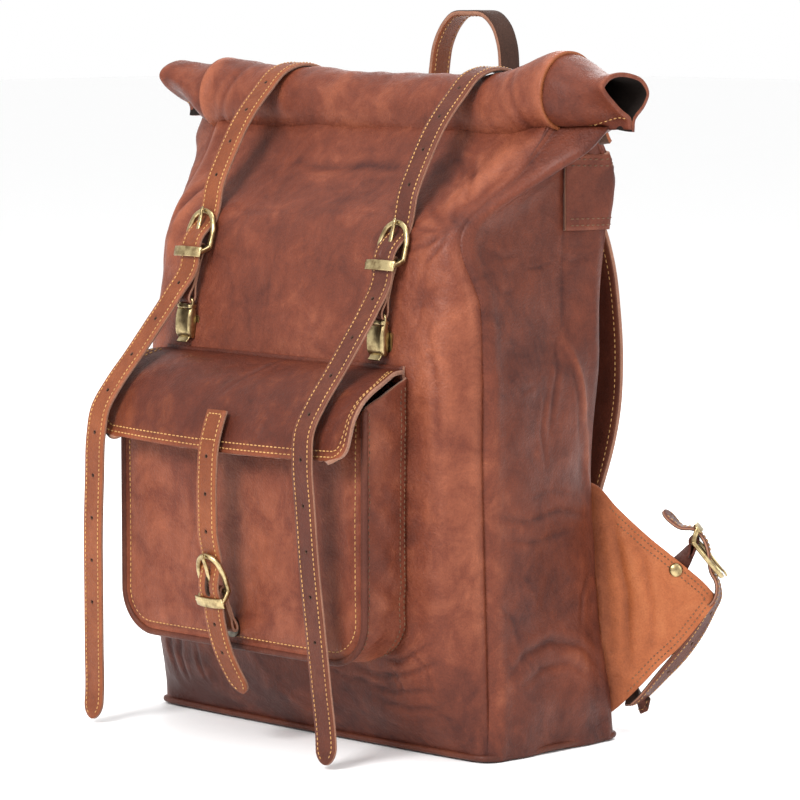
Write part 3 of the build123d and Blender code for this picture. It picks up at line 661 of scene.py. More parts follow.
def front_height(points):
    """Sag, folds and wrinkles of the front panel, and its tone shift: rubbed ridges, hollows darkened as painted shade,
    a painted highlight on the right, painted shade high in the middle, and darker towards the bottom.
    """
    x, z = points[..., 0], points[..., 2]
    soft = 1.5 * ripple(points, 130.0, 11) + 0.55 * ripple(points, 48.0, 12) + 0.16 * ripple(points, 17.0, 13)
    folds = -3.0 * np.exp(-(((x - 142) / 9) ** 2 + ((z - 364) / 10) ** 2))
    folds = folds + radiating(x, z, np.array([140.0, 362.0]),
                              [(150, 46), (176, 40), (205, 34), (236, 30), (118, 44)], 5, 2.6, 1.0)
    folds = folds - 1.4 * np.exp(-(((x - 126) / 10) ** 2 + ((z - 318) / 9) ** 2))
    folds = folds + radiating(x, z, np.array([126.0, 318.0]),
                              [(20, 20), (80, 24), (140, 22), (200, 26), (265, 24), (320, 18)], 3, 1.8, 0.4)
    folds = folds + crease(x, z, [(-17, 345), (-21, 318), (-22, 270)], 1.8, 0.55)
    folds = folds + crease(x, z, [(-92, 372), (-60, 367), (-20, 368)], 2.2, 0.8)
    folds = folds + crease(x, z, [(10, 371), (50, 369), (84, 372)], 2.2, 0.45)
    for line, width, depth in (
        ([(62, 62), (88, 56), (118, 60), (146, 72)], 2.6, 1.5),
        ([(70, 50), (100, 45), (134, 50)], 2.4, 1.2),
        ([(92, 70), (112, 68), (140, 84)], 2.2, 1.1),
        ([(84, 38), (112, 34), (140, 38)], 2.6, 1.1),
        ([(120, 78), (132, 66), (136, 50)], 2.2, 1.0),
        ([(104, 64), (110, 52), (108, 40)], 1.8, 0.8),
        ([(40, 56), (60, 50), (80, 52)], 2.2, 0.9),
        ([(-128, 68), (-132, 48), (-130, 26)], 3.4, 1.5),
        ([(-114, 62), (-120, 44), (-118, 24)], 3.0, 1.3),
        ([(-145, 76), (-148, 52), (-150, 30)], 3.4, 1.2),
        ([(-96, 58), (-98, 42), (-94, 26)], 2.8, 0.9),
        ([(132, 300), (142, 262), (146, 214)], 4.0, 0.9),
        ([(-138, 350), (-146, 322), (-150, 290)], 3.6, 1.1),
        ([(-120, 395), (-132, 378), (-140, 352)], 4.5, 1.8),
        ([(-60, 402), (-20, 398), (30, 402), (70, 399)], 4.0, 1.3),
        ([(112, 408), (126, 396), (134, 380)], 4.0, 2.2),
        ([(96, 412), (112, 402), (122, 386)], 3.0, 1.2),
    ):
        folds = folds + crease(x, z, line, width, depth)
    folds = folds + bump_ridge(x, z, [(120, 376), (134, 398), (150, 420)], 9.0, 4.5)
    belly = 2.0 * np.exp(-((z - 60) / 26) ** 2) * np.exp(-(x / 130) ** 2)
    # painted highlight on the right of the front at mid-height, and darker towards the bottom
    sheen_shade_and_darker_bottom = 0.55 * np.exp(-(((x - 140) / 30) ** 2 + ((z - 270) / 110) ** 2)) - 0.8 * (1 - smoothstep(30, 95, z))
    # painted shade high in the middle of the front
    sheen_shade_and_darker_bottom = sheen_shade_and_darker_bottom - 0.3 * smoothstep(250, 330, z) * np.exp(-((x - 20) / 90.0) ** 2)
    return soft + 0.85 * folds + belly, wear_and_shade_from(soft * 0.25 + folds) + sheen_shade_and_darker_bottom


def side_height(points, side):
    """Folds and wrinkles of a gusset panel, the same layout on both sides with its own waviness."""
    y, z = points[..., 1], points[..., 2]
    seed = 20 if side > 0 else 30
    soft = 1.6 * ripple(points, 110.0, seed) + 0.6 * ripple(points, 42.0, seed + 1)
    soft = soft + 0.18 * ripple(points, 15.0, seed + 2)
    folds = -1.2 * np.exp(-((y - CREASE_AT[1]) / 2.0) ** 2) * smoothstep(290, 312, z)
    folds = folds + bump_ridge(y, z, [(20, 292), (38, 250), (50, 208), (57, 176)], 4.0, 3.2, taper=0.35)
    folds = folds + bump_ridge(y, z, [(20, 292), (-6, 262), (-30, 238)], 4.0, 0.5, taper=0.35)
    folds = folds + crease(y, z, [(-16, 333), (2, 334), (18, 337)], 1.5, 1.1)
    for line, width, depth in (
        ([(18, 284), (8, 256), (2, 222)], 3.0, 1.2),
        ([(24, 276), (34, 240), (40, 206)], 3.0, 1.1),
        ([(-2, 250), (-8, 222), (-4, 196)], 3.0, 0.9),
        ([(-44, 262), (-30, 252), (-12, 256)], 2.2, 0.8),
        ([(-58, 168), (-24, 162), (12, 166), (48, 158)], 3.4, 1.5),
        ([(-50, 152), (-14, 147), (30, 152)], 3.0, 1.1),
        ([(-30, 178), (4, 180), (34, 174)], 2.6, 0.9),
        ([(-46, 58), (-30, 72), (0, 77), (30, 70), (48, 56)], 4.2, 1.9),
        ([(-36, 50), (-12, 60), (16, 60), (36, 48)], 3.2, 1.2),
        ([(-56, 110), (-40, 96), (-34, 78)], 3.0, 1.0),
        ([(50, 120), (38, 104), (34, 84)], 3.0, 1.0),
        ([(-52, 350), (-36, 342), (-18, 344)], 3.0, 1.0),
        ([(-54, 330), (-40, 318), (-26, 320)], 2.4, 0.8),
        ([(20, 344), (34, 336), (52, 340)], 3.0, 0.9),
    ):
        folds = folds + crease(y, z, line, width, depth)
    belly = 2.6 * np.exp(-((z - 32) / 15) ** 2) * np.exp(-(y / 46) ** 2)
    # tone: ridges paler as wear, hollows darker as painted shade, a little darker overall, and darker towards the
    # bottom
    return 0.8 * soft + 0.7 * folds + belly, wear_and_shade_from(0.2 * soft + 0.7 * folds) - 0.3 - 0.3 * (1 - smoothstep(20, 150, z))


def side_grid(z, count):
    """Right gusset panel from the front corner to the back corner."""
    fx, fy, _, _, _, gx, bx, by = level(z).T
    folded = smoothstep(CREASE_LOW - 30, CREASE_LOW + 15, z)[:, None] * (1 - smoothstep(404, 436, z))[:, None]
    middle = np.stack([gx, (fy + by) / 2], 1)
    middle = middle + folded * (np.array(CREASE_AT) - middle)
    front, back = np.stack([fx, fy], 1), np.stack([bx, by], 1)
    share = np.linspace(0, 1, count)
    sharp = np.stack([np.stack([np.interp(share, [0, 0.5, 1], [f[k], m[k], b[k]]) for k in (0, 1)], 1)
                      for f, m, b in zip(front, middle, back)])
    out = np.array([4.0, 0.0])
    quarter_f, quarter_b = 0.5 * (front + middle) + out, 0.5 * (middle + back) + out
    soft = curve_rows(np.stack([front, quarter_f, middle, quarter_b, back], 1),
                      np.linspace(0, 1, 5), share)
    firm = smoothstep(CREASE_LOW - 25, CREASE_LOW + 25, z)[:, None, None]
    flat = firm * sharp + (1 - firm) * soft
    return np.dstack([flat, np.broadcast_to(z[:, None], flat.shape[:2])])


def shoulder_flare(from_front, z):
    """How far the gusset's front edge stands out, on its way up to the open end of the roll."""
    reach = hermite([340, 366, 380, 392, 404, 414, 427], [0, 2, 6, 14, 25, 36, 40], z)
    peak = hermite([340, 366, 400, 436], [9, 10, 15, 22], z)
    rise = smoothstep(0, 1, np.clip(from_front / peak, 0, 1))
    fall = 1 - smoothstep(0, 1, np.clip((from_front - peak) / 46.0, 0, 1))
    return reach * rise * fall


def mirror_grid(points):
    """The same grid on the left, its columns reversed so that it still faces outwards."""
    flipped = points[:, ::-1].copy()
    flipped[..., 0] *= -1
    return flipped


def build_body():
    z = np.linspace(1.0, BODY_TOP, 200)
    points = front_grid(z, np.linspace(-1, 1, 168))
    from_left, from_right = arc_from_edges(points)
    edge = np.minimum(from_left, from_right)
    height, wear_and_painted_light = front_height(points)
    calm = smoothstep(0, 14, edge) * smoothstep(1, 14, points[..., 2])
    height = height * calm + seam_shape(edge, puff=1.2)
    panel("front_panel", points, "bag", BODY, ["front_panel"], height,
          wear_and_painted_light + 0.3 * np.exp(-((edge - 7) / 4) ** 2))

    for side, tag in ((1, "right"), (-1, "left")):
        points = side_grid(np.linspace(1.0, SIDE_TOP, 200), 84)
        from_front, from_back = arc_from_edges(points)
        edge = np.minimum(from_front, from_back)
        height, wear_and_painted_light = side_height(points, side)
        calm = smoothstep(0, 12, edge) * smoothstep(1, 14, points[..., 2])
        flare = shoulder_flare(from_front, points[..., 2])
        points[..., 0] += flare
        calm = calm * (1 - smoothstep(390, 408, points[..., 2]) * np.clip(flare / 8.0, 0, 1))
        banded = 1 - 0.8 * smoothstep(350, 360, points[..., 2]) * smoothstep(8, 22, points[..., 1])
        height = height * calm * banded + seam_shape(edge, puff=1.8)
        wear_and_painted_light = wear_and_painted_light + 0.25 * np.exp(-((from_front - 9) / 5) ** 2)
        if side < 0:
            points, height, wear_and_painted_light = mirror_grid(points), height[:, ::-1], wear_and_painted_light[:, ::-1]
        panel(f"side_panel_{tag}", points, "bag", BODY, [f"side_panel_{tag}"], height, wear_and_painted_light,
              inside=BODY)

    bx, by = level(z).T[6:8]
    share = np.linspace(1, -1, 120)
    points = np.dstack([bx[:, None] * share, np.broadcast_to(by[:, None], (len(z), 120)),
                        np.broadcast_to(z[:, None], (len(z), 120))])
    from_right, from_left = arc_from_edges(points)
    edge = np.minimum(from_left, from_right)
    x, high = points[..., 0], points[..., 2]
    soft = 0.9 * ripple(points, 120.0, 41) + 0.35 * ripple(points, 44.0, 42) + 0.12 * ripple(points, 15.0, 43)
    folds = crease(x, high, [(-96, 150), (-40, 144), (30, 149), (90, 143)], 3.0, 0.9)
    folds = folds + crease(x, high, [(-60, 64), (0, 58), (62, 66)], 3.0, 0.8)
    folds = folds + crease(x, high, [(-30, 256), (20, 262), (72, 254)], 2.6, 0.6)
    height = (soft + folds) * smoothstep(0, 12, edge) * smoothstep(1, 14, high) + seam_shape(edge)
    panel("back_panel", points, "bag", BODY, ["back_panel"], height, wear_and_shade_from(folds))


def base_outline(z, out, count=220):
    """Closed outline of the bag at height z, moved outwards."""
    heights = np.array([float(z)])
    front = front_grid(heights, np.linspace(-1, 1, 80))[0, :, :2]
    fx, fy, _, _, _, gx, bx, by = level(heights)[0]
    corner = np.array([(bx, by)])
    ring = np.concatenate([front, [(gx, (fy + by) / 2)], corner, [(-bx, by)], [(-gx, (fy + by) / 2)],
                           front[:1]])
    ring = resample(ring, 3.0)[:-1]
    for _ in range(5):
        ring = 0.5 * ring + 0.25 * (np.roll(ring, 1, axis=0) + np.roll(ring, -1, axis=0))
    way = unit(np.roll(ring, -1, axis=0) - np.roll(ring, 1, axis=0))
    ring = ring + np.stack([way[:, 1], -way[:, 0]], 1) * out
    return np.column_stack([ring, np.full(len(ring), float(z))])


def build_base():
    welt = base_outline(3.4, 1.0)
    verts, faces = tube(welt, circle(2.3, 10), across=UP, closed=True)
    make("base_welt", verts, faces, [DARK], "bag", ["base_welt"])
    ring = base_outline(1.4, -1.6)
    count = len(ring)
    layers, faces = [], []
    for share, z in ((1.0, 1.4), (0.97, 0.3), (0.6, 0.1), (0.25, 0.15), (0.02, 0.2)):
        layer = ring.copy()
        layer[:, :2] *= share
        layer[:, 2] = z
        layers.append(layer)
    faces = grid_faces(len(layers), count, wrap=True)
    last = (len(layers) - 1) * count
    faces.append(tuple(last + j for j in range(count)))
    under = count * len(layers)
    top = ring.copy()
    top[:, 2] = 3.0
    faces += [(under + j, under + (j + 1) % count, (j + 1) % count, j) for j in range(count)]
    faces.append(tuple(under + j for j in reversed(range(count))))
    faces = [tuple(reversed(f)) for f in faces]
    make("base_panel", np.concatenate(layers + [top]), faces, [BODY], "bag", ["base_panel"])


build_body()
build_base()

# ---- rolled mouth -------------------------------------------------------------------------------
ROLL_Y, ROLL_Z, ROLL_R, ROLL_STEP = 7.0, 439.0, 27.0, 5.0
ROLL_HALF, ROLL_SEAM = 221.0, 170.0
STRAP_PLACES = (-97.0, 97.0)


def roll_path(laps):
    """Lead-in from the back panel, then half laps of the spiral; columns y, z, lap."""
    points = [(49.0, 419.0, -0.45), (43.5, 425.0, -0.30), (38.5, 431.5, -0.15)]
    y, side = ROLL_Y + ROLL_R, -1
    for lap in range(laps):
        radius = ROLL_R - lap * ROLL_STEP
        centre = y + side * radius
        for turn in np.linspace(0, pi, 15)[(0 if lap == 0 else 1):]:
            angle = turn + (0 if side < 0 else pi)
            points.append((centre + radius * cos(angle), ROLL_Z + radius * sin(angle), lap + turn / pi))
        y += 2 * side * radius
        side = -side
    return smooth_path(np.array(points), 2.2)


# The open end of the roll: lap, y and z round a teardrop that is pinched at the bottom.
OPEN_END = np.array([
    (-0.45, 17.0, 428.0), (0.0, 17.0, 429.5), (0.06, 18.0, 436.0), (0.16, 28.0, 444.5), (0.32, 33.0, 455.0),
    (0.47, 25.0, 465.0), (0.62, 9.0, 469.0), (0.80, -7.0, 467.0), (0.97, -16.0, 459.5), (1.12, -12.5, 452.0),
    (1.30, -3.0, 445.0), (1.45, 6.0, 440.0), (1.55, 12.5, 436.0), (1.64, 13.5, 429.5), (2.2, 13.5, 429.5),
])


def roll_points(path, x, seed):
    """Rolled leather over the stations x, loosened, dented and opened towards the ends."""
    y, z = path[:, 0] - ROLL_Y, path[:, 1] - ROLL_Z
    angle, radius, lap = np.arctan2(z, y), np.hypot(y, z), path[:, 2]
    end = smoothstep(ROLL_SEAM + 2, ROLL_HALF - 4, np.abs(x))
    near_seam = np.exp(-((np.abs(x) - 166.0) / 36.0) ** 2)
    wave = 0.030 * np.sin(x / 31.0 + seed)[:, None] * np.cos(angle + 0.6)[None]
    wave = wave + 0.018 * np.sin(x / 13.0 + 2.0 * seed)[:, None] * np.sin(2 * angle + x[:, None] / 60.0)
    wave = wave + (0.10 * near_seam * (x > 0) + 0.04 * near_seam * (x < 0))[:, None]
    for place in STRAP_PLACES:
        wave = wave - 0.05 * np.exp(-((x - place) / 15.0) ** 2)[:, None] * np.sin(angle / 2 + 0.4)[None] ** 2
    scale = 1 + wave * np.exp(-0.6 * np.clip(lap, 0, 1.6))[None]
    lift = np.where(x > 0, 12.0, 4.0) * near_seam - 1.2 * np.sin(x / 55.0 + 1.0)
    rolled = np.stack([np.broadcast_to(x, (len(path), len(x))), (ROLL_Y + np.cos(angle) * radius * scale).T,
                       (ROLL_Z + np.sin(angle) * radius * scale).T + lift[None]], 2)
    open_y, open_z = hermite(OPEN_END[:, 0], OPEN_END[:, 1:], lap).T
    opened = np.stack([rolled[..., 0], np.broadcast_to(open_y[:, None], rolled.shape[:2]),
                       np.broadcast_to(open_z[:, None], rolled.shape[:2])], 2)
    grid = rolled + (opened - rolled) * end[None, :, None]
    still = (1 - smoothstep(-0.45, 0.12, lap))[:, None, None] * (1 - end)[None, :, None]
    root = grid.copy()
    root[..., 1], root[..., 2] = path[:, :1], path[:, 1:2]
    return grid + (root - grid) * still


def build_roll():
    full = roll_path(4)
    x = np.linspace(ROLL_SEAM + 1.5, -ROLL_SEAM - 1.5, 150)
    points = roll_points(full, x, 0.7)
    edge = np.minimum(*arc_from_edges(points))
    height = 0.9 * ripple(points, 60.0, 51) + 0.35 * ripple(points, 24.0, 52)
    height = height * smoothstep(0, 10, edge) + 1.4 * np.exp(-(edge / 6) ** 2)
    along, high = points[..., 0], points[..., 2]
    slant = np.abs(along) + 0.35 * (high - ROLL_Z)
    folds = crease(slant, high, [(150, 410), (146, 470)], 4.0, 1.0)
    panel("roll_centre", points, "bag", BODY, ["roll_centre"], height + folds,
          wear_and_shade_from(height * 0.5 + folds) + 0.8 * np.exp(-(edge / 9) ** 2), edge=TAN)
    outer = full[(full[:, 2] >= -0.02) & (full[:, 2] <= 1.64)]
    stitch_bits = Bits()
    for side, tag in ((1, "right"), (-1, "left")):
        x = np.linspace(ROLL_HALF, ROLL_SEAM - 4.0, 40)
        if side < 0:
            x = -x[::-1]
        points = roll_points(outer, x, 0.7)
        from_first, from_last = arc_from_edges(points)
        outside = from_first if side > 0 else from_last
        height = 0.8 * ripple(points, 55.0, 53 + side) + 0.3 * ripple(points, 20.0, 56 + side) - 1.6
        rim = 1.6 * np.exp(-(outside / 6) ** 2)
        # inside faces near-black as painted shade in the open roll ends
        _, moved, normals = panel(f"roll_end_{tag}", points, "bag", BODY, [f"roll_end_{tag}"],
                                  height + rim, 0.45 * np.exp(-(outside / 5) ** 2) - 0.25, inside=SHADE,
                                  edge=BODY)
        place = np.argmin(np.abs(outer[:, 2] - 1.50))
        columns = np.arange(0.4, 39.0, 0.4)
        path = sample(moved, np.full(len(columns), float(place)), columns)
        stitches(stitch_bits, path, sample(normals, np.full(len(columns), float(place)), columns), pitch=3.8,
                 length=2.6, radius=0.45)
    stitch_bits.object("roll_stitching", GOLD_THREAD, "bag", "tan_leather")

    # the doubled mouth edge, folded up in the middle of the roll
    stations = np.linspace(-158.0, 158.0, 60)
    path = np.stack([stations, 3.5 + 0.6 * np.sin(stations / 20.0), 441.0 + 0.6 * np.cos(stations / 27.0)], 1)
    turn = np.linspace(0, 2 * pi, 40, endpoint=False)
    pleat = 9.6 + 0.9 * np.cos(5 * turn)
    verts, faces = tube(path, np.stack([pleat * np.cos(turn), pleat * np.sin(turn)], 1), across=UP)
    make("mouth_hem", verts, faces, [DARK], "bag", ["mouth_hem"])


build_roll()


# ---- straps and sheet pieces --------------------------------------------------------------------
def attach(obj, body=None, between=None):
    """Ride on one body; when between is given, only bake the object's transform into its mesh. between is (body_a,
    body_b, start, end) in millimetres; its bodies and points are not used.
    """
    if body:
        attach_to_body(obj, body)
    if between:
        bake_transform(obj)


def flipped(verts, faces):
    """The mirror image on the left."""
    verts = np.array(verts, float).reshape(-1, 3)
    verts[:, 0] *= -1
    return verts, [tuple(reversed(f)) for f in faces]


def punch(obj, cutters, material):
    """Cut closed shapes out of a piece, the cut faces taking the given material."""
    if not cutters.count:
        return
    cutter = make("cutter", np.concatenate(cutters.verts), cutters.faces, [material], None)
    modifier = obj.modifiers.new("punch", "BOOLEAN")
    modifier.operation = "DIFFERENCE"
    modifier.solver = "EXACT"
    modifier.material_mode = "TRANSFER"
    modifier.object = cutter
    bpy.context.view_layer.update()
    done = bpy.data.meshes.new_from_object(obj.evaluated_get(bpy.context.evaluated_depsgraph_get()))
    obj.modifiers.clear()
    obj.data = done
    bpy.data.objects.remove(cutter)


def stations(length, step, start_tip, end_tip):
    """Distances along a strap, closer together in its tips."""
    fine = np.array([0.0, 0.15, 0.5, 1.1, 2.0, 3.2, 4.8, 6.8, 9.2, 12.0])
    runs = [np.linspace(0, length, max(int(length / step), 4) + 1)]
    if start_tip:
        runs.append(fine)
    if end_tip:
        runs.append(length - fine)
    return np.unique(np.concatenate(runs).round(3))


def tip_share(distance, reach=12.0):
    """Width share at a distance from a rounded, slightly pointed strap tip."""
    t = np.clip(distance / reach, 0, 1)
    return np.clip((1 - (1 - t) ** 2.1) ** 0.62, 0.04, 1)


class Strap:
    """Flat leather strap along a smooth line, with cut edges, tips, holes and stitching.

    `across` is one direction, or a twist as (shares of the length, directions).
    """

    def __init__(self, line, width, thick, across=ACROSS, tips=(False, False), step=2.6, widths=None):
        dense = smooth_path(line, 0.5)
        run = np.r_[0, np.cumsum(np.linalg.norm(np.diff(dense, axis=0), axis=1))]
        self.length = run[-1]
        self.at = stations(self.length, step, *tips)
        self.path = np.stack([np.interp(self.at, run, dense[:, k]) for k in range(3)], 1)
        self.ways = unit(np.gradient(self.path, axis=0))
        if len(across) == 2:
            across = hermite(*across, self.at / self.length)
        across = np.broadcast_to(np.asarray(across, float), self.path.shape)
        self.side = unit(across - self.ways * np.sum(across * self.ways, 1, keepdims=True))
        self.out = np.cross(self.ways, self.side)
        self.width, self.thick, self.tips = width, thick, tips
        self.share = np.ones(len(self.at)) if widths is None else hermite(*widths, self.at / self.length)
        if tips[0]:
            self.share = self.share * tip_share(self.at)
        if tips[1]:
            self.share = self.share * tip_share(self.length - self.at)

    def where(self, at, across=0.0, out=0.0):
        """Points on the strap at distances along it, and the outward direction there."""
        at = np.asarray(at, float)
        pick = [np.stack([np.interp(at, self.at, grid[:, k]) for k in range(3)], -1)
                for grid in (self.path, self.side, self.out)]
        return (pick[0] + pick[1] * np.asarray(across)[..., None] + pick[2] * np.asarray(out)[..., None],
                unit(pick[2]))

    def mesh(self, crown=0.25, roll=0.7):
        half, deep = self.width / 2, self.thick / 2
        inner = half - roll
        across = np.array([1.0, 0.6, 0.2, -0.2, -0.6, -1.0])
        top = [(inner * a, deep + crown * (1 - a * a) - 0.12) for a in across]
        low = [(-inner * a, -deep) for a in across]
        section = np.array([(half, deep - roll)] + top + [(-half, deep - roll), (-half, roll - deep)] + low
                           + [(half, roll - deep)])
        rings = np.repeat(section[None], len(self.path), 0)
        rings[:, :, 0] *= self.share[:, None]
        verts, faces = tube(self.path, rings, across=self.side)
        count = len(section)
        face_kind = {7: 1, 15: 1, **{column: 2 for column in range(8, 15)}}
        kinds = [face_kind.get(k % count, 0) for k in range(len(faces) - 2)] + [1, 1]
        wear_and_painted_light = np.tile(np.where(np.abs(section[:, 0]) > half - 1.5, 0.5, 0.0), len(self.path))
        return verts, faces, kinds, wear_and_painted_light

    def stitch(self, bits, inset=3.0, start=3.0, stop=None, pitch=3.4, length=2.3, rows=(1, -1), flip=False,
               radius=0.42):
        stop = self.length - 3.0 if stop is None else stop
        at = np.arange(start, stop, 0.5)
        share = np.interp(at, self.at, self.share)
        if self.tips[1]:
            share = share * np.sqrt(tip_share(self.length - at - 2.0, 11.0))
        for row in rows:
            points, out = self.where(at, row * (self.width / 2 - inset) * share, self.thick / 2 + 0.05)
            if flip:
                points, out = points * (-1, 1, 1), out * (-1, 1, 1)
            stitches(bits, points, out, pitch=pitch, length=length, radius=radius)

    def hole(self, cutters, at, radius=1.5, long=None):
        """Punch for one round hole, or a slot when `long` is given."""
        centre, out = self.where(np.array([at]))
        centre, out = centre[0], out[0]
        way = unit(np.stack([np.interp(at, self.at, self.ways[:, k]) for k in range(3)]))
        side = np.cross(way, out)
        turns = np.linspace(0, 2 * pi, 14, endpoint=False)
        stretch = (long or 0.0) / 2
        ring = [side * radius * cos(t) + way * (radius * sin(t) + (stretch if sin(t) > 0 else -stretch))
                for t in turns]
        verts = [centre + p + out * d for d in (-6, 6) for p in ring]
        faces = grid_faces(2, 14, wrap=True) + [tuple(range(14)), tuple(range(27, 13, -1))]
        cutters.add(verts, faces)

    def build(self, name, leather_skin, stands_for, body=None, between=None, flip=False, cutters=None,
              crown=0.25, roll=0.7, under=None):
        verts, faces, kinds, wear_and_painted_light = self.mesh(crown, roll)
        if flip:
            verts, faces = flipped(verts, faces)
        obj = make(name, verts, faces, [leather_skin, EDGE, under or leather_skin], None, (),
                   face_slots=kinds, wear_and_painted_light=wear_and_painted_light)
        if cutters is not None and cutters.count:
            if flip:
                mirrored_cut = Bits()
                mirrored_cut.add(*flipped(np.concatenate(cutters.verts), cutters.faces))
                cutters = mirrored_cut
            punch(obj, cutters, FLESH)
        if stands_for:
            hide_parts(*stands_for)
        attach(obj, body, between)
        return obj


def side_name(side):
    return "right" if side > 0 else "left"


def strip(name, points, thickness, material, body, stands_for, lift=0.0, wear_and_painted_light=0.0, between=None):
    """Sheet of leather with pale cut edges from a grid of points."""
    normals = grid_normals(points)
    points = points + normals * np.broadcast_to(lift, points.shape[:2])[..., None]
    normals = grid_normals(points)
    verts, faces, front, back = thicken(points, thickness, normals)
    kinds = [0] * front + [1] * back + [2] * (len(faces) - front - back)
    wear_and_painted_light = np.broadcast_to(wear_and_painted_light, points.shape[:2]).ravel()
    obj = make(name, verts, faces, [material, FLESH, EDGE], None, stands_for, face_slots=kinds,
               wear_and_painted_light=np.concatenate([wear_and_painted_light, wear_and_painted_light]))
    attach(obj, body, between)
    return obj, points, normals


# ---- pocket -------------------------------------------------------------------------------------
POCKET_HALF, POCKET_FRONT, POCKET_LOW, POCKET_HIGH, POCKET_CORNER = 122.0, -141.0, 70.0, 244.0, 30.0


def pocket_outline(inset, step=2.0, high=POCKET_HIGH):
    """Pocket edge seen from the front: down the left side, along the base and up the right side."""
    half, low, corner = POCKET_HALF - inset, POCKET_LOW + inset, POCKET_CORNER - inset
    turn = np.linspace(0, pi / 2, 24)
    left = np.stack([-half + corner - corner * np.cos(turn), low + corner - corner * np.sin(turn)], 1)
    right = np.stack([half - corner + corner * np.sin(turn), low + corner - corner * np.cos(turn)], 1)
    whole = np.concatenate([[(-half, high)], left, right, [(half, high)]])
    return resample(whole, step)


def pocket_bulge(x, z):
    """How far the pocket face stands forward of its edges, with dents and folds."""
    share_x, share_z = np.clip(np.abs(x) / POCKET_HALF, 0, 1), (z - POCKET_LOW) / (POCKET_HIGH - POCKET_LOW)
    crown = 2.6 * (1 - share_x ** 4) * np.sin(pi * np.clip(0.25 + 0.65 * share_z, 0, 1)) ** 0.7
    spots = np.stack([x, 0 * x, z], -1)
    soft = 1.0 * ripple(spots, 100.0, 61) + 0.4 * ripple(spots, 36.0, 62) + 0.10 * ripple(spots, 13.0, 63)
    folds = crease(x, z, [(-70, 96), (-20, 90), (40, 97)], 3.0, 0.6)
    folds = folds + crease(x, z, [(56, 196), (66, 150), (62, 100)], 4.0, 0.9)
    folds = folds + crease(x, z, [(-50, 190), (-46, 150), (-56, 110)], 4.0, 0.6)
    return crown + soft + folds, folds


